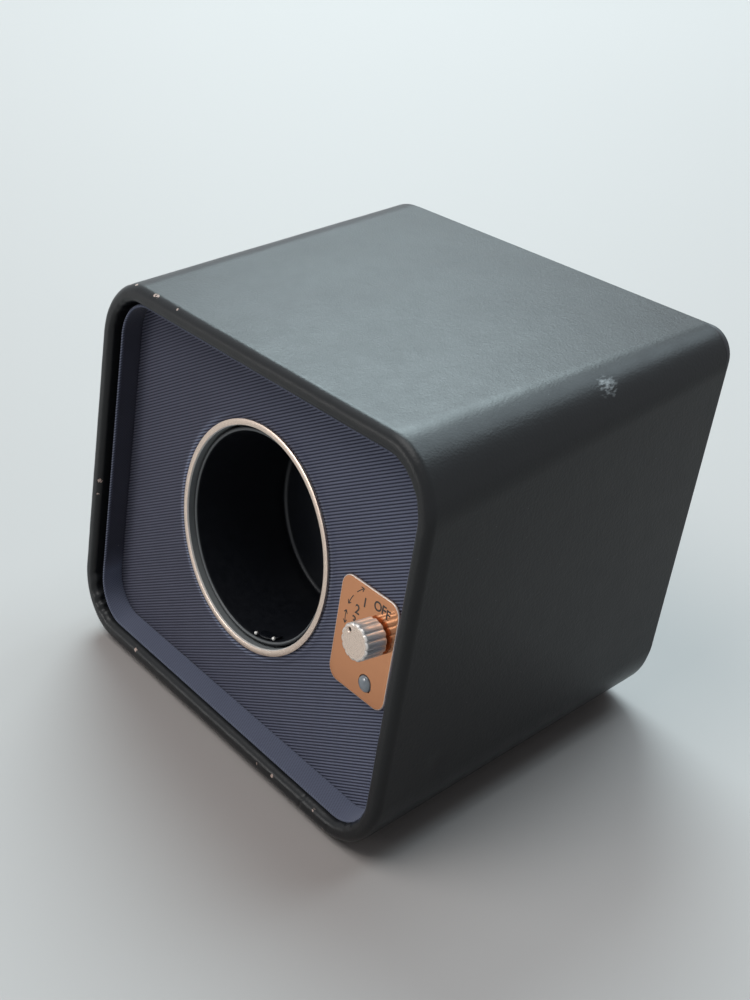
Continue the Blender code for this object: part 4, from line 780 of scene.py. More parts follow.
def make_liner(case, fabric, colours):
    """The fabric strip that lines the recess: its folded section carried round the front.

    P(i, j) = ring_j(inset_i, depth_i) + fold height * rib_wave(j / 4 + slant_i) * outward_i. The
    strip is loose in its groove: its level runs are pushed up and down, and its sides to the right.
    """
    low, high = (np.array(corner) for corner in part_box("front_liner"))
    outer = CASE_HIGH[0] - high[0]
    fold = case.liner_wall / 2
    front, back = LINER_LOW[2] + case.recess, LINER_HIGH[2] + case.recess
    hidden = np.linspace(back, front + fold, 5)[:-1]
    shown = np.linspace(front + fold, back, 13)[1:]
    section = path(straight(outer, hidden), arc((outer + fold, front + fold), fold, math.pi, TURN, 8),
                   straight(outer + case.liner_wall, shown), (outer, back))
    straights = (CASE_HIGH - CASE_LOW) - 2 * case.corner
    step = fabric.fold_pitch / LINER_LINES
    corner = round((case.corner - outer) * QUARTER / step)
    counts = (corner, *(inner(round(straights[axis] / step)) for axis in (0, 2, 0)))
    grid = case_ring(case, *section.T, case.tight_corner, *counts)
    inward = unit(case_ring(case, section[:, 0] + fold, section[:, 1], case.tight_corner, *counts) - grid)
    column = np.arange(grid.shape[1])
    ribs = round(column[-1] / LINER_LINES)
    down = run(section)[:, None]
    rib = rib_wave(column / column[-1] * ribs + LINER_SLANT * down / fabric.fold_pitch)
    row = np.arange(len(section))[:, None]
    seen = (row >= len(hidden)) & (row < len(section) - 2)
    way = np.gradient(section, axis=0)
    outward = unit(np.stack((way[:, 1], -way[:, 0]), axis=1))
    edge = bell(section[:, 1] - front, fold)[:, None] * rib
    lift = (seen * fabric.fold_height * (rib + FOLD_LIFT * edge))[..., None] * outward[:, None, :]
    drop = (CASE_LOW[2] + CASE_HIGH[2] - low[2] - high[2]) / 2
    middle = (CASE_LOW + CASE_HIGH) / 2
    sideways, upright = (np.clip((grid - middle)[..., axis] / straights[axis] * 2, -1, 1) for axis in (0, 2))
    slide = case.liner_slide * (1.5 - 0.5 * sideways)
    grid = grid + lift[..., :1] * inward + lift[..., 1:] * IN
    grid = grid + slide[..., None] * ACROSS + (drop / COS * upright)[..., None] * UP
    ledge = np.clip(-4 * upright - 3, 0, 1) ** 2
    lay = np.stack(np.broadcast_arrays(column * step, down), axis=-1)
    # The second layer is painted light: on the lower ledge, lit from above, and along the lit fold
    layers = {"rib": [np.where(seen, GROOVE_TONE + TONE_RISE * rib, HIDDEN_TONE)],
              "painted_light": [np.maximum(LEDGE_PAINTED_LIGHT * ledge, FOLD_PAINTED_LIGHT * edge)]}
    piece = surface("fabric_liner", [grid], layers, [lay], sharp=80)
    # Painted shade: the liner's fabric is a darker copy of the face's, for its shaded walls
    finish = fabric_finish(colours, "liner_fabric", shade(colours.rib, 0.4), 0.0008, 0.15)
    dress(piece, finish, "case", "grey_fabric", "front_liner")


def span_of(inside, low, high, steps=44):
    """Ends of the stretch where a shape holds a row of points: bisection outwards from the middle."""
    ends = []
    for limit in (low, high):
        near, far = np.zeros_like(limit), limit.copy()
        for _ in range(steps):
            halfway = (near + far) / 2
            hit = inside(halfway)
            near, far = np.where(hit, halfway, near), np.where(hit, far, halfway)
        ends.append(near)
    return ends


def make_face(case, fabric, metal, colours):
    """The fabric face: rows along the ribs, cut off at the rounded outline and at the round hole.

    A point is at across = p cos a - q sin a, up = p sin a + q cos a, where q counts across the
    ribs and p along them. Each row ends at the outline and where p = sqrt(hole^2 - q^2).
    """
    cos_a, sin_a = math.cos(fabric.slope), math.sin(fabric.slope)
    inset = case.rim + GAP
    half = ((CASE_HIGH - CASE_LOW) / 2)[[0, 2]] - inset
    shift = (CASE_HIGH[2] + CASE_LOW[2]) / 2 - MIDDLE[2]
    radius = case.corner - inset

    def outside(p, q):
        """Distance of a point outside the rounded outline, negative within it."""
        x = np.abs(p * cos_a - q * sin_a)
        z = np.abs((p * sin_a + q * cos_a) * COS - shift)
        corner = np.maximum(np.stack((x - half[0] + radius, z - half[1] + radius)), 0)
        return np.hypot(*corner) - radius

    reach = float(np.hypot(*half))
    step = fabric.pitch / FACE_LINES
    q = np.arange(-math.ceil(reach / step), math.ceil(reach / step) + 1) * step
    trial = np.linspace(-reach, reach, 801)
    depth_in = outside(trial[None, :], q[:, None])
    best = trial[np.argmin(depth_in, axis=1)]
    keep = depth_in.min(axis=1) < 0
    q, best = q[keep], best[keep]
    far = np.full(len(q), 2 * reach)
    start, end = (best + way for way in span_of(lambda along: outside(best + along, q) < 0, -far, far))
    for row in (0, -1):
        start[row] = end[row] = (start[row] + end[row]) / 2
    hole = RING_HIGH[0] - metal.band + metal.spigot + GAP
    gap = np.sqrt(np.clip(hole ** 2 - q ** 2, 0, None))
    split = np.clip(0.0, start, end)
    share = np.linspace(0, 1, 36)
    halves = ((start, np.where(gap > 0, -gap, split), 1 - (1 - share) ** 2),
              (np.where(gap > 0, gap, split), end, share ** 2))
    front, back = PANEL_LOW[2], PANEL_HIGH[2]
    patches, ribs, painted_light, lays = [], [], [], []

    def add(p, height_on, depth):
        """Add a grid of places along the ribs, with its ribs raised or flat, and its layers."""
        rows = np.broadcast_to(q[:, None], p.shape)
        across, up = p * cos_a - rows * sin_a, p * sin_a + rows * cos_a
        rib = rib_wave(rows / fabric.pitch)
        reach = np.hypot(across, up)
        bead = bell(reach - RING_HIGH[0] - 2 * fabric.bead_width, fabric.bead_width)
        patches.append(on_face(across, up, depth - height_on * (fabric.height * rib + fabric.bead * bead)))
        ribs.append(rib)
        # Painted light on the bead's flank towards the lower left, and growing towards the face's right side
        towards = np.clip(0.25 - (across + 0.7 * up) / reach, 0, 1)
        right = np.clip((across - SIDE_START) / SIDE_WIDTH, 0, 1)
        painted_light.append(np.maximum(BEAD_PAINTED_LIGHT * bead * towards, SIDE_PAINTED_LIGHT * right))
        lays.append(np.stack((p, rows), axis=-1))

    for first, last, places in halves:
        add(first[:, None] * (1 - places) + last[:, None] * places, 1.0, front)
        add(np.stack((first, last), axis=1), 0.0, back)
    holed = np.flatnonzero(gap > 0)
    ring_rows = slice(holed[0] - 1, holed[-1] + 2)
    for front_grid, back_grid, outer, mouth in ((*patches[:2], 0, -1), (*patches[2:4], -1, 0)):
        for edge, rows in ((outer, slice(None)), (mouth, ring_rows)):
            wall = np.stack((front_grid[rows, edge], back_grid[rows, edge]), axis=1)
            patches.append(wall)
            ribs.append(np.full(wall.shape[:2], 0.5))
            painted_light.append(np.zeros(wall.shape[:2]))
            lays.append(np.zeros((*wall.shape[:2], 2)))
    piece = surface("fabric_face", patches, {"rib": ribs, "painted_light": painted_light}, lays, sharp=80)
    finish = fabric_finish(colours, "face_fabric", colours.rib, 0.0010, 0.35)
    dress(piece, finish, "case", "grey_fabric", "face_panel")


# How strong the painted highlights on the drum's lip and on the plate's edge are, and rows on the drum's wall, as
# shares of its height that crowd towards the lip
LIP_PAINTED_HIGHLIGHT, PLATE_EDGE_PAINTED_HIGHLIGHT = 0.6, 0.75
WALL_ROWS = np.array((0.5, 0.9, 0.98))[:, None]


def turned_piece(name, profile, sides, layers=None, **place):
    """A turned piece with its flat pattern: turns along one way, length of profile the other."""
    grid = turned(profile, sides, **place)
    kept = {layer: [np.broadcast_to(values[:, None], grid.shape[:2])]
            for layer, values in (layers or {}).items()}
    around = np.linspace(0, TURN, sides + 1) * np.abs(profile[:, 0]).max()
    lay = np.stack(np.meshgrid(around, run(profile)), axis=-1)
    return surface(name, [grid], kept, [lay])


def make_ring(metal, colours):
    """The satin ring: a low crowned band, a chamfer, a bore and a spigot, turned round the drum's axis.

    The crown is depth = front + crown * t^2, for t from 1 at the outer edge to -1 at the chamfer.
    """
    radius, bore = RING_HIGH[0], RING_HIGH[0] - metal.band
    front, back = RING_LOW[2], RING_HIGH[2]
    seat = PANEL_LOW[2] - GAP
    spigot = bore + metal.spigot
    share = np.linspace(1, -1, 17)
    crown_width = metal.band - metal.chamfer
    crown = np.stack((radius - crown_width / 2 * (1 - share), front + metal.crown * share ** 2), axis=1)
    hair = GAP / 10
    slope = np.array(((bore + metal.chamfer - hair, 0), (bore, 2 * metal.chamfer)))
    slope += (0, front + metal.crown + hair)
    profile = path((radius, seat), crown, slope, slope[-1] + (0, hair), (bore, back - GAP / 2),
                   (bore + GAP / 2, back), (spigot, back), (spigot, seat), (radius, seat))
    row = np.arange(len(profile))
    first = 1 + len(crown)
    # The chamfer rows get a painted highlight; the bore rows are dull grey
    layers = {"edge": ((row >= first) & (row < first + 2)).astype(float),
              "bore": (row >= first + 2).astype(float)}
    piece = turned_piece("nickel_ring", profile, 256, layers)
    dress(piece, ring_finish(colours), "case", "satin_nickel", "bezel_ring")


def make_drum(metal, colours):
    """The drum: a lip, a drafted wall, a floor with a fillet and a boss, turned round its axis."""
    mouth = DRUM_HIGH[0]
    lip = metal.lip / 2
    floor = DISC_HIGH[2] + GAP
    inner_floor = mouth - metal.lip - metal.draft
    floor_back = floor + metal.drum_floor
    corner = (inner_floor - metal.fillet, floor - metal.fillet)
    rounded = arc(corner, metal.fillet, QUARTER, 0, 8)
    front = arc((mouth - lip, DRUM_LOW[2] + lip), lip, math.pi, TURN, 14)
    wall = rounded[-1] * (1 - WALL_ROWS) + front[0] * WALL_ROWS
    profile = path((0, floor), rounded, wall, front,
                   (inner_floor + metal.lip, floor_back), (metal.boss, floor_back),
                   (metal.boss, DRUM_HIGH[2]), (0, DRUM_HIGH[2]))
    # Painted highlight: a light grey line along the drum's mouth, in the ring's bore colour
    edge = LIP_PAINTED_HIGHLIGHT * bell(np.hypot(*(profile - front[4]).T), lip / 2)
    finish = plastic_finish("drum_plastic", colours.plastic, 0.42, dusty=True, edge=colours.bore)
    dress(turned_piece("drum_cup", profile, 200, {"edge": edge}), finish, "drum", "black_plastic", "drum")


def make_disc(metal, colours):
    """The disc on the drum's floor: a flat sheet with an eased edge, turned round the drum's axis."""
    radius, front, back = DISC_HIGH[0], DISC_LOW[2], DISC_HIGH[2]
    ease = metal.disc_ease
    profile = path((radius, back), arc((radius - ease, front + ease), ease, 0, -QUARTER, 6),
                   (radius * 0.6, front), (0, front), (0, back), (radius, back))
    finish = plastic_finish("disc_plastic", shade(colours.plastic, 1.8), 0.35, dusty=True)
    dress(turned_piece("drum_back_disc", profile, 160), finish, "drum", "black_plastic", "drum_disc")


def make_catch(metal, colours):
    """The catch: a low curved bar on the drum's wall, with a round stud at either end.

    A ring of the bar at depth d is an arc on the wall and an arc above it by h = bar * s ** 0.5,
    over a half angle of spread * s ** 0.25, where s = sin(pi * share of the depth). A stud is a
    ball: centre + R (sin b cos a, sin b sin a, cos b).
    """
    low, high = face_box("cuff_catch")
    points = measured(node_points("cuff_catch"))
    outer = np.hypot(points[:, 0], points[:, 1]).max()
    place = np.arctan2(points[:, 1], points[:, 0])
    middle, spread = (place.min() + place.max()) / 2, (place.max() - place.min()) / 2
    share = np.linspace(0, 1, 25)[:, None]
    turn = np.linspace(0, TURN, 49)
    swell = np.clip(np.sin(math.pi * share), 0, 1)
    side = np.sign(np.cos(turn)) * np.abs(np.cos(turn)) ** 0.4
    up = 0.5 + 0.5 * np.sign(np.sin(turn)) * np.abs(np.sin(turn)) ** 0.4
    r = outer - metal.bar * np.sqrt(swell) * up
    a = middle + spread * swell ** 0.25 * side
    patches = [on_face(r * np.cos(a), r * np.sin(a), low[2] + (high[2] - low[2]) * share)]
    around, rise = np.meshgrid(np.linspace(0, TURN, 33), np.linspace(0, math.pi, 17))
    reach = outer - metal.stud * 0.8
    for place in (middle - spread, middle + spread):
        across = reach * math.cos(place) + metal.stud * np.sin(rise) * np.cos(around)
        height = reach * math.sin(place) + metal.stud * np.sin(rise) * np.sin(around)
        patches.append(on_face(across, height, low[2] + metal.stud * np.cos(rise)))
    ends = [np.full(patch.shape[:2], float(index > 0)) for index, patch in enumerate(patches)]
    piece = surface("catch_tab", patches, {"end": ends})
    dress(piece, catch_finish(colours), "drum", "satin_nickel", "cuff_catch")


def catch_finish(colours):
    """Bright studs, a painted highlight, on either side of a dark bar, painted shade."""
    base = colours.edge
    finish = Finish("nickel_painted_glints_and_shade", base, 0.3)
    skin = finish.noise(0.0012, 4.0)
    end = finish.layer("end")
    bright = finish.mix(skin, shade(base, 0.9), shade(base, 1.06))
    # Painted highlight on the studs and painted shade on the bar between them
    finish.feed("Base Color", finish.mix(end, colours.plastic, bright))
    finish.feed("Metallic", finish.span(end, 0.0, 1.0, 0.0, 0.4))
    finish.feed("Roughness", finish.span(skin, 0.3, 0.7, 0.25, 0.35))
    return finish.material


def plate_chain(half_width, half_height, radius, split, upper):
    """Half of the plate's outline, from the split on one side over two corners to the other side."""
    end = 1 if upper else -1
    start = 0.0 if upper else math.pi
    right, level = end * (half_width - radius), end * (half_height - radius)
    near = end * half_width
    return path((near, split), arc((right, level), radius, start, start + QUARTER, 14),
                arc((-right, level), radius, start + QUARTER, start + 2 * QUARTER, 14), (-near, split))


def make_plate(metal, colours):
    """The control plate: a rounded sheet with an eased edge and two round holes.

    Its front and back are two flat grids each, one round each hole, that share a level line.
    """
    low, high = PLATE_LOW, PLATE_HIGH
    centre = (low[:2] + high[:2]) / 2
    half_width, half_height = (high[:2] - low[:2]) / 2
    knob = KNOB_PLACE[:2] - centre
    lamp = ((LAMP_LOW + LAMP_HIGH) / 2)[:2] - centre
    lamp_hole = (LAMP_HIGH[0] - LAMP_LOW[0]) / 2 - metal.lamp_flange + GAP
    split = (knob[1] + lamp[1]) / 2
    ease = metal.plate_ease

    def chains(inset):
        """Both halves of the outline, drawn in by an inset."""
        return [plate_chain(half_width - inset, half_height - inset, metal.plate_corner - inset, split, upper)
                for upper in (True, False)]

    def placed(flat, depth):
        """Points of the plate from their places beside its middle."""
        return on_face(centre[0] + flat[..., 0], centre[1] + flat[..., 1], depth)

    edge = path((0.0, high[2]), arc((ease, low[2] + ease), ease, 2 * QUARTER, 3 * QUARTER, 6))
    rings = []
    for inset, depth in edge:
        upper, lower = chains(inset)
        rings.append(placed(np.concatenate((upper, lower[1:])), depth))
    patches = [np.stack(rings)]
    line = np.linspace(1, -1, 17)[1:-1, None]
    for index, (hub, hole) in enumerate(((knob, metal.shaft_hole), (lamp, lamp_hole))):
        loops = []
        for inset, depth in ((ease, low[2]), (0.0, high[2])):
            chain = chains(inset)[index]
            level = np.concatenate((-chain[0, 0] * line, np.full_like(line, split)), axis=1)
            loops.append(np.concatenate((chain, level, chain[:1])))
            patches.append(hub_patch(loops[-1] + centre, hub + centre, hole, 10, depth))
        patches[-1][-1] = placed(hub + hole * unit(loops[0] - hub), high[2])
        patches.append(np.stack((patches[-2][-1], patches[-1][-1])))
    bright = [np.zeros(patch.shape[:2]) for patch in patches]
    # Painted highlight along the plate's eased edge
    bright[0][1:-1] = PLATE_EDGE_PAINTED_HIGHLIGHT
    piece = surface("polished_plate", patches, {"edge": bright})
    dress(piece, plate_finish(colours), "case", "copper_plate", "control_plate")


def make_knob(metal, colours):
    """The fluted knob: rings of radius R - flute * (1 - |sin(n a / 2)|) ** 1.6 along its axis.

    The flutes fade out over the eased edge towards the face's middle. A pointer dimple is pressed
    into the face: 0.9 r sqrt(1 - (d / r)^2) within its radius r, with a low lip raised round it.
    """
    local = measured(node_points("selector_knob")) - KNOB_PLACE
    radius = float(np.hypot(local[:, 0], local[:, 1]).max())
    front, back = KNOB_LOW[2], KNOB_HIGH[2]
    ease, dimple, reach = metal.knob_ease, metal.dimple, metal.dimple_reach
    middle = np.linspace(radius - 1.1 * ease, 0, 46)
    profile = path((0, back), (radius - GAP, back), (radius, back - GAP),
                   straight(radius, np.linspace(back - ease, front + 1.4 * ease, 5)),
                   arc((radius - ease, front + ease), ease, 0, -QUARTER, 7),
                   np.stack((middle, np.full(len(middle), front)), axis=1))
    turn = np.linspace(0, TURN, metal.flutes * 16 + 1)
    r, depth = profile.T[:, :, None]
    flute = metal.flute * (1 - np.abs(np.sin(metal.flutes * turn / 2))) ** 1.6
    r = r - flute * np.clip((r / radius - 0.80) / 0.1, 0, 1)
    across, up = r * np.cos(turn), r * np.sin(turn)
    off = np.hypot(across - reach * math.cos(metal.pointer), up - reach * math.sin(metal.pointer))
    pit = np.clip(1 - (off / dimple) ** 2, 0, 1)
    lip = bell(off - dimple * 1.25, dimple * 0.3)
    on_front = np.clip((ease * 0.5 - (depth - front)) / (ease * 0.4), 0, 1) * np.ones_like(across)
    depth = depth + on_front * (dimple * 0.9 * np.sqrt(pit) - dimple * 0.08 * lip)
    grid = on_face(KNOB_PLACE[0] + across, KNOB_PLACE[1] + up, depth)
    lay = np.stack(np.broadcast_arrays(turn * radius, r), axis=-1)
    eased = bell(profile - (radius - 0.5 * ease, front + 0.4 * ease), 0.6 * ease).prod(axis=1)
    eased = np.broadcast_to(eased[:, None], across.shape)
    # Layers for painted light: the face's warm painted reflection, painted shade in the dimple's pit and a painted
    # highlight on the eased edge
    layers = {"face": [on_front], "pit": [(pit > 0.25) * on_front], "edge": [eased]}
    piece = surface("fluted_knob", [grid], layers, [lay], sharp=50)
    dress(piece, knob_finish(colours), "knob", "chrome", "selector_knob")


def knob_finish(colours):
    """Satin chrome: pale flutes, a bright edge that is a painted highlight, a face with fine turned lines and a
    warm tint that is a painted reflection, and a dark pit that is painted shade.
    """
    base = colours.chrome
    finish = Finish("chrome", base, 0.2, 0.4)
    flat = finish.flat()
    lines = finish.noise(0.00012, 2.0, finish.stretched((0.02, 1.0, 1.0), flat))
    face, edge = finish.layer("face"), finish.layer("edge")
    painted_face_reflection = finish.mix(lines, shade(colours.nickel, 0.98), shade(colours.nickel, 1.15))
    tone = finish.mix(edge, finish.mix(face, base, painted_face_reflection), colours.edge)
    finish.feed("Base Color", finish.mix(finish.layer("pit"), tone, PIT_SHADE))
    plated = finish.combine(face, 'SUBTRACT', edge)
    finish.feed("Metallic", finish.span(plated, 0.0, 1.0, 0.35, 0.9))
    finish.feed("Roughness", finish.span(lines, 0.3, 0.7, 0.20, 0.32))
    return finish.material


def make_lamp(metal, colours):
    """The pilot light: a low dome on a round body with a flange, and two legs to the board.

    The dome is (R cos a, front - rise * sin a), for a from a quarter turn to 0.
    """
    centre = (LAMP_LOW + LAMP_HIGH) / 2
    flange = (LAMP_HIGH[0] - LAMP_LOW[0]) / 2
    radius = flange - metal.lamp_flange
    tip, base = LAMP_LOW[2], PLATE_LOW[2]
    back = tip + radius + metal.lamp_length
    flange_front = back - metal.lamp_flange_depth
    dome = arc((0, 0), 1.0, QUARTER, 0, 20) * (radius, tip - base) + (0, base)
    body = path((0, tip), dome[1:], (radius, flange_front), (flange, flange_front), (flange, back), (0, back))
    patches = [turned(body, 64, across=centre[0], up=centre[1])]
    leg = metal.lamp_leg / 2
    wire = path((0, back + leg), (leg, back + leg), (leg, LAMP_HIGH[2]), (0, LAMP_HIGH[2]))
    for side in (-0.5, 0.5):
        patches.append(turned(wire, 12, across=centre[0] + side * metal.lamp_leg_pitch, up=centre[1]))
    dress(surface("lamp_dome", patches), lens_finish(colours), "case", "clear_lens", "power_light")


def band(points, width, front, back):
    """A printed stroke: a flat band of a width along a line, closed at its ends."""
    line = np.asarray(points, float)
    way = unit(np.gradient(line, axis=0))
    side = np.stack((-way[:, 1], way[:, 0]), axis=1) * width / 2
    left, right = line + side, line - side
    corners = ((left, back), (left, front), (right, front), (right, back), (left, back))
    grid = np.stack([on_face(flat[:, 0], flat[:, 1], depth) for flat, depth in corners], axis=1)
    ends = [np.broadcast_to(grid[row, :4].mean(0), grid[row].shape)[None] for row in (0, -1)]
    return np.concatenate((ends[0], grid, ends[1]))


# Print on the plate: how far it stands proud and goes in, the arrows' radius, stroke, barbs and the
# angle of those, the radii of the numbers and of OFF, and the font's size and boldness for a height
PRINT_PROUD, PRINT_SUNK = 0.00003, 0.00005
ARROW_REACH, STROKE, BARB, BARB_TURN = 0.0137, 0.00030, 0.0013, 0.6
NUMBER_REACH, OFF_REACH = 0.0099, 0.0091
FONT_SIZE, FONT_BOLD = 1.35, 0.025

# Places round the knob in degrees: arrows from start to end, with a head at the start or the end,
# and letters
ARROWS = ((139.0, 124.0, (False, True)), (148.0, 164.0, (False, True)), (174.0, 192.0, (True, True)))
NUMBERS = (("1", 131.0), ("2", 157.0), ("3", 181.0))
OFF_LETTERS = (("O", 97.0), ("F", 81.0), ("F", 68.0))


def make_marks(metal, colours):
    """Printed marks on the plate: curved arrows as strokes, plain numbers, and OFF."""
    front, back = PLATE_LOW[2] - PRINT_PROUD, PLATE_LOW[2] + PRINT_SUNK
    ink = ink_finish(colours)
    patches = []
    for start, end, heads in ARROWS:
        shaft = arc(KNOB_PLACE[:2], ARROW_REACH, math.radians(start), math.radians(end), 14)
        patches.append(band(shaft, STROKE, front, back))
        for tip, behind, wanted in ((shaft[0], shaft[1], heads[0]), (shaft[-1], shaft[-2], heads[1])):
            heading = math.atan2(*(behind - tip)[::-1])
            for turn in (-BARB_TURN, BARB_TURN) if wanted else ():
                way = (math.cos(heading + turn), math.sin(heading + turn))
                patches.append(band(tip + np.linspace(0, BARB, 4)[:, None] * way, STROKE, front, back))
    dress(surface("plate_arrows", patches), ink, "case", "black_plastic")
    for word, letters, reach in (("numbers", NUMBERS, NUMBER_REACH), ("off", OFF_LETTERS, OFF_REACH)):
        meshes = []
        for letter, turn in letters:
            way = np.array((math.cos(math.radians(turn)), math.sin(math.radians(turn))))
            meshes.append(printed(letter, KNOB_PLACE[:2] + reach * way, metal.print_height, front, back))
        dress(linked("plate_" + word, merged("plate_" + word, meshes)), ink, "case", "black_plastic")


def printed(text, place, height, front, back):
    """A letter made into a mesh and laid on the plate, centred on its place."""
    letter = bpy.data.curves.new("letter", 'FONT')
    letter.body = text
    letter.size = height * FONT_SIZE
    letter.align_x = 'CENTER'
    letter.extrude = (back - front) / 2
    letter.offset = height * FONT_BOLD
    letter.resolution_u = 6
    carrier = linked("letter", letter)
    mesh = bpy.data.meshes.new_from_object(carrier.evaluated_get(bpy.context.evaluated_depsgraph_get()))
    bpy.data.objects.remove(carrier)
    local = mesh_points(mesh)
    rise = (local[:, 1].min() + local[:, 1].max()) / 2
    points = on_face(place[0] + local[:, 0], place[1] + local[:, 1] - rise, (front + back) / 2 - local[:, 2])
    mesh.vertices.foreach_set("co", points.astype(np.float32).ravel())
    return mesh


def merged(name, meshes):
    """Several meshes as one."""
    solid = bmesh.new()
    for mesh in meshes:
        solid.from_mesh(mesh)
        bpy.data.meshes.remove(mesh)
    whole = bpy.data.meshes.new(name)
    solid.to_mesh(whole)
    solid.free()
    whole.materials.clear()
    weld(whole)
    whole.set_sharp_from_angle(angle=math.radians(40))
    return whole


# Felt pads: easing of their edge and unevenness of their rim
FELT_EASE, FELT_UNEVEN = 0.0004, 0.006


def make_feet():
    """Felt pads: discs with an eased edge, turned round upright axes.

    Their rim is slightly uneven: r (1 - u (1 + sin 9a sin 4a)).
    """
    felt = board_finish("felt", FELT)
    turn = np.linspace(0, TURN, 65)
    for node in sorted(name for name in frame["nodes"] if name.startswith("foot_")):
        low, high = (np.array(corner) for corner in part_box(node))
        radius = (high[0] - low[0]) / 2
        height = high[2] - low[2]
        profile = path((0, 0), arc((radius - FELT_EASE, FELT_EASE), FELT_EASE, -QUARTER, 0, 5),
                       (radius, height - FELT_EASE / 2), (radius - FELT_EASE / 2, height), (0, height))
        r, z = profile.T[:, :, None]
        r = r * (1 - FELT_UNEVEN * (1 + np.sin(turn * 9) * np.sin(turn * 4)))
        centre = (low + high) / 2
        grid = np.stack((centre[0] + r * np.cos(turn), centre[1] + r * np.sin(turn),
                         low[2] + z + 0 * turn), axis=-1)
        dress(surface(node.replace("foot", "felt_pad"), [grid]), felt, "case", "felt", node)


def make_inlet(colours):
    """The power inlet: a barrel with a brim, a socket and a centre pin, turned round its axis."""
    centre = (INLET_LOW + INLET_HIGH) / 2
    brim = (INLET_HIGH[0] - INLET_LOW[0]) / 2
    barrel, socket, pin = brim - INLET_BRIM, INLET_SOCKET, INLET_PIN
    front, mouth = INLET_LOW[2], INLET_HIGH[2]
    seat, floor = mouth - INLET_BRIM_DEPTH, mouth - INLET_DEPTH
    profile = path((0, mouth - pin), arc((0, mouth - 2 * pin), pin, QUARTER, 0, 6)[1:], (pin, floor),
                   (socket, floor), (socket, mouth - SOCKET_EASE), (socket + SOCKET_EASE, mouth),
                   arc((brim - BRIM_EASE, mouth - BRIM_EASE), BRIM_EASE, QUARTER, 0, 5), (brim, seat),
                   (barrel, seat), (barrel, front), (0, front))
    piece = turned_piece("supply_inlet", profile, 72, across=centre[0], up=centre[1])
    finish = plastic_finish("inlet_plastic", shade(colours.plastic, 1.3), 0.35)
    dress(piece, finish, "case", "black_plastic", "power_inlet")


def finish_inner_nodes(colours):
    """Give every CAD node that still shows a procedural finish for its record slot."""
    finishes = {
        "case_board": board_finish("case_board", (0.42, 0.33, 0.22)),
        "black_plastic": plastic_finish("inner_plastic", shade(colours.plastic, 1.6), 0.5),
        "white_acetal": plastic_finish("white_acetal", (0.78, 0.77, 0.73), 0.42),
        "steel": metal_finish("steel", (0.55, 0.55, 0.56), 0.3),
        "bronze": metal_finish("bronze", (0.55, 0.38, 0.20), 0.4),
        "zinc_plate": metal_finish("zinc_plate", (0.60, 0.61, 0.63), 0.38),
        "green_board": plastic_finish("green_board", (0.02, 0.16, 0.07), 0.45),
        "red_lead": plastic_finish("red_lead", (0.45, 0.03, 0.03), 0.5),
    }
    for part in frame["record"]["subparts"]:
        finish = finishes.get(part["material_slot"])
        node = frame["nodes"][part["node"]]
        if finish and not node.hide_render:
            node.data.materials.clear()
            node.data.materials.append(finish)


# Camera, from the photograph's view: place, direction, lens and sensor in millimetres, near clip
EYE = (0.3006, -0.24925, 0.3042)
AZIMUTH, ELEVATION, ROLL = math.radians(50.383), math.radians(31.944), math.radians(-0.22)
LENS, SENSOR, NEAR = 49.44, 36.0, 0.01

# Floor: half of its width
FLOOR_HALF = 2.2

# World: tint, strength as light, and strength as the camera and mirrors see it
WORLD_TINT = (0.93, 0.96, 1.0, 1.0)
WORLD_LIGHT, WORLD_SEEN = 0.10, 0.75

# Lamps: the height that they aim at, their distance from there, and for each its name, the
# direction it stands in, width, power and tint
LAMP_AIM, LAMP_DISTANCE = Vector((0, 0, 0.06)), 3.0
LAMPS = (("window", (-0.57, 0.46, 0.72), 1.7, 75.0, (0.77, 0.95, 1.0)),
         ("skylight", (0.00, 0.56, 0.83), 1.8, 34.0, (0.75, 0.92, 1.0)),
         ("overhead", (-0.22, -0.32, 0.92), 2.0, 34.0, (1.0, 0.99, 0.97)),
         ("front_fill", (-0.53, -0.82, 0.14), 0.9, 10.0, (1.0, 0.98, 0.95)))


def add_floor(colours):
    """A pale flat floor under the part."""
    span = np.linspace(-FLOOR_HALF, FLOOR_HALF, 9)
    x, y = np.meshgrid(span, span)
    floor = surface("floor", [np.stack((x, y, np.zeros_like(x)), axis=-1)])
    base = colours.floor
    paint = Finish("pale_floor", base, 0.6)
    paint.feed("Base Color", paint.mix(paint.noise(0.4, 2.0), shade(base, 0.99), shade(base, 1.01)))
    floor.data.materials.append(paint.material)
    if floor.data.polygons[0].normal.z < 0:
        floor.data.flip_normals()


def add_lamps():
    """Soft round lamps that all aim at the part."""
    for name, direction, width, power, tint in LAMPS:
        light = bpy.data.lights.new(name, 'AREA')
        light.shape = 'DISK'
        light.size = width
        light.energy = power
        light.color = tint
        lamp = linked(name, light)
        lamp.location = LAMP_AIM + Vector(direction).normalized() * LAMP_DISTANCE
        lamp.rotation_euler = (LAMP_AIM - lamp.location).to_track_quat('-Z', 'Y').to_euler()


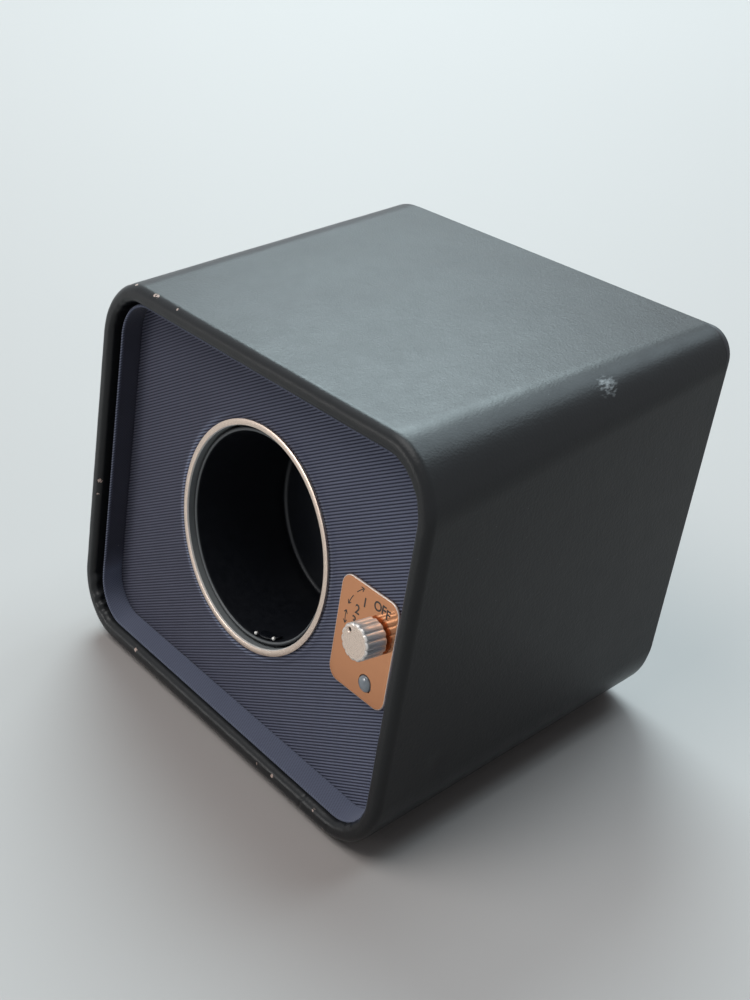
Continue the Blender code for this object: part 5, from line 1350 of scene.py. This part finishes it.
def add_world():
    """A plain world, faint as light and pale where the camera and the mirrors see it."""
    world = bpy.data.worlds.new("studio")
    world.use_nodes = True
    tree = world.node_tree
    backdrop = tree.nodes["Background"]
    backdrop.inputs["Color"].default_value = WORLD_TINT
    rays = tree.nodes.new("ShaderNodeLightPath")
    seen = rays.outputs["Is Camera Ray"]
    for ray in ("Is Glossy Ray", "Is Transmission Ray"):
        either = tree.nodes.new("ShaderNodeMath")
        either.operation = 'MAXIMUM'
        tree.links.new(seen, either.inputs[0])
        tree.links.new(rays.outputs[ray], either.inputs[1])
        seen = either.outputs[0]
    strength = tree.nodes.new("ShaderNodeMapRange")
    strength.inputs["To Min"].default_value = WORLD_LIGHT
    strength.inputs["To Max"].default_value = WORLD_SEEN
    tree.links.new(seen, strength.inputs["Value"])
    tree.links.new(strength.outputs["Result"], backdrop.inputs["Strength"])
    bpy.context.scene.world = world


def add_camera():
    """The camera, in the photograph's place."""
    camera = bpy.data.cameras.new("camera")
    camera.lens = LENS
    camera.sensor_width = SENSOR
    camera.clip_start = NEAR
    viewer = linked("camera", camera)
    level = math.cos(ELEVATION)
    back = Vector((math.sin(AZIMUTH) * level, -math.cos(AZIMUTH) * level, math.sin(ELEVATION)))
    turn = back.to_track_quat('Z', 'Y').to_matrix() @ Matrix.Rotation(ROLL, 3, 'Z')
    viewer.matrix_world = Matrix.Translation(EYE) @ turn.to_4x4()
    bpy.context.scene.camera = viewer


def make_stage(colours):
    """A pale floor, soft lamps, a plain world and the camera."""
    add_floor(colours)
    add_lamps()
    add_world()
    add_camera()
    bpy.context.scene.view_settings.view_transform = 'Standard'


OPTIONS = {'REGISTER', 'UNDO'}


class WINDER_OT_leather(bpy.types.Operator):
    """Wrap the case in leather"""
    bl_idname = "winder.leather"
    bl_label = "Leather"
    bl_options = OPTIONS

    def execute(self, context):
        scene = context.scene
        make_leather(scene.winder_case, scene.winder_colours)
        return {'FINISHED'}


class WINDER_OT_rear_panel(bpy.types.Operator):
    """Close the back with its panel"""
    bl_idname = "winder.rear_panel"
    bl_label = "Rear panel"
    bl_options = OPTIONS

    def execute(self, context):
        scene = context.scene
        make_rear_panel(scene.winder_case)
        return {'FINISHED'}


class WINDER_OT_liner(bpy.types.Operator):
    """Line the front recess with a strip of folded fabric"""
    bl_idname = "winder.liner"
    bl_label = "Liner"
    bl_options = OPTIONS

    def execute(self, context):
        scene = context.scene
        make_liner(scene.winder_case, scene.winder_fabric, scene.winder_colours)
        return {'FINISHED'}


class WINDER_OT_face(bpy.types.Operator):
    """Cover the face panel with ribbed fabric"""
    bl_idname = "winder.face"
    bl_label = "Fabric face"
    bl_options = OPTIONS

    def execute(self, context):
        scene = context.scene
        make_face(scene.winder_case, scene.winder_fabric, scene.winder_metal, scene.winder_colours)
        return {'FINISHED'}


class WINDER_OT_ring(bpy.types.Operator):
    """Turn the satin ring round the drum's mouth"""
    bl_idname = "winder.ring"
    bl_label = "Ring"
    bl_options = OPTIONS

    def execute(self, context):
        scene = context.scene
        make_ring(scene.winder_metal, scene.winder_colours)
        return {'FINISHED'}


class WINDER_OT_drum(bpy.types.Operator):
    """Turn the drum and the disc on its floor"""
    bl_idname = "winder.drum"
    bl_label = "Drum"
    bl_options = OPTIONS

    def execute(self, context):
        scene = context.scene
        make_drum(scene.winder_metal, scene.winder_colours)
        make_disc(scene.winder_metal, scene.winder_colours)
        return {'FINISHED'}


class WINDER_OT_catch(bpy.types.Operator):
    """Make the catch inside the drum's mouth"""
    bl_idname = "winder.catch"
    bl_label = "Catch"
    bl_options = OPTIONS

    def execute(self, context):
        scene = context.scene
        make_catch(scene.winder_metal, scene.winder_colours)
        return {'FINISHED'}


class WINDER_OT_plate(bpy.types.Operator):
    """Make the control plate and its printed marks"""
    bl_idname = "winder.plate"
    bl_label = "Control plate"
    bl_options = OPTIONS

    def execute(self, context):
        scene = context.scene
        make_plate(scene.winder_metal, scene.winder_colours)
        make_marks(scene.winder_metal, scene.winder_colours)
        return {'FINISHED'}


class WINDER_OT_knob(bpy.types.Operator):
    """Make the fluted knob"""
    bl_idname = "winder.knob"
    bl_label = "Knob"
    bl_options = OPTIONS

    def execute(self, context):
        scene = context.scene
        make_knob(scene.winder_metal, scene.winder_colours)
        return {'FINISHED'}


class WINDER_OT_lamp(bpy.types.Operator):
    """Make the pilot light"""
    bl_idname = "winder.lamp"
    bl_label = "Pilot light"
    bl_options = OPTIONS

    def execute(self, context):
        scene = context.scene
        make_lamp(scene.winder_metal, scene.winder_colours)
        return {'FINISHED'}


class WINDER_OT_feet(bpy.types.Operator):
    """Make the felt pads"""
    bl_idname = "winder.feet"
    bl_label = "Felt pads"
    bl_options = OPTIONS

    def execute(self, context):
        make_feet()
        return {'FINISHED'}


class WINDER_OT_inlet(bpy.types.Operator):
    """Make the power inlet"""
    bl_idname = "winder.inlet"
    bl_label = "Power inlet"
    bl_options = OPTIONS

    def execute(self, context):
        scene = context.scene
        make_inlet(scene.winder_colours)
        return {'FINISHED'}


class WINDER_OT_works(bpy.types.Operator):
    """Finish the pieces inside the case"""
    bl_idname = "winder.works"
    bl_label = "Inner works"
    bl_options = OPTIONS

    def execute(self, context):
        scene = context.scene
        finish_inner_nodes(scene.winder_colours)
        return {'FINISHED'}


class WINDER_OT_stage(bpy.types.Operator):
    """Set up the floor, the lamps and the camera"""
    bl_idname = "winder.stage"
    bl_label = "Stage"
    bl_options = OPTIONS

    def execute(self, context):
        scene = context.scene
        make_stage(scene.winder_colours)
        return {'FINISHED'}


OPERATORS = (WINDER_OT_leather, WINDER_OT_rear_panel, WINDER_OT_liner, WINDER_OT_face, WINDER_OT_ring,
             WINDER_OT_drum, WINDER_OT_catch, WINDER_OT_plate, WINDER_OT_knob, WINDER_OT_lamp,
             WINDER_OT_feet, WINDER_OT_inlet, WINDER_OT_works, WINDER_OT_stage)


class WINDER_PT_sidebar(bpy.types.Panel):
    """The winder's operators and sizes"""
    bl_label = "Winder box"
    bl_space_type = 'VIEW_3D'
    bl_region_type = 'UI'
    bl_category = "Winder"

    def draw(self, context):
        """List the operators, and the sizes and colours below them."""
        for operator in OPERATORS:
            self.layout.operator(operator.bl_idname)
        for name, group in GROUPS.items():
            box = self.layout.box()
            box.label(text=group.__doc__.rstrip("."))
            for field in group.__annotations__:
                box.prop(getattr(context.scene, name), field)


CLASSES = (*GROUPS.values(), *OPERATORS, WINDER_PT_sidebar)


def register():
    """Register the classes and give the scene their sizes and colours."""
    for group in CLASSES:
        bpy.utils.register_class(group)
    for name, group in GROUPS.items():
        setattr(bpy.types.Scene, name, bpy.props.PointerProperty(type=group))


def unregister():
    """Take the sizes, the colours and the classes away again."""
    for name in GROUPS:
        delattr(bpy.types.Scene, name)
    for group in reversed(CLASSES):
        bpy.utils.unregister_class(group)


def main():
    register()
    for operator in OPERATORS:
        family, name = operator.bl_idname.split(".")
        getattr(getattr(bpy.ops, family), name)()


if __name__ == "__main__":
    main()
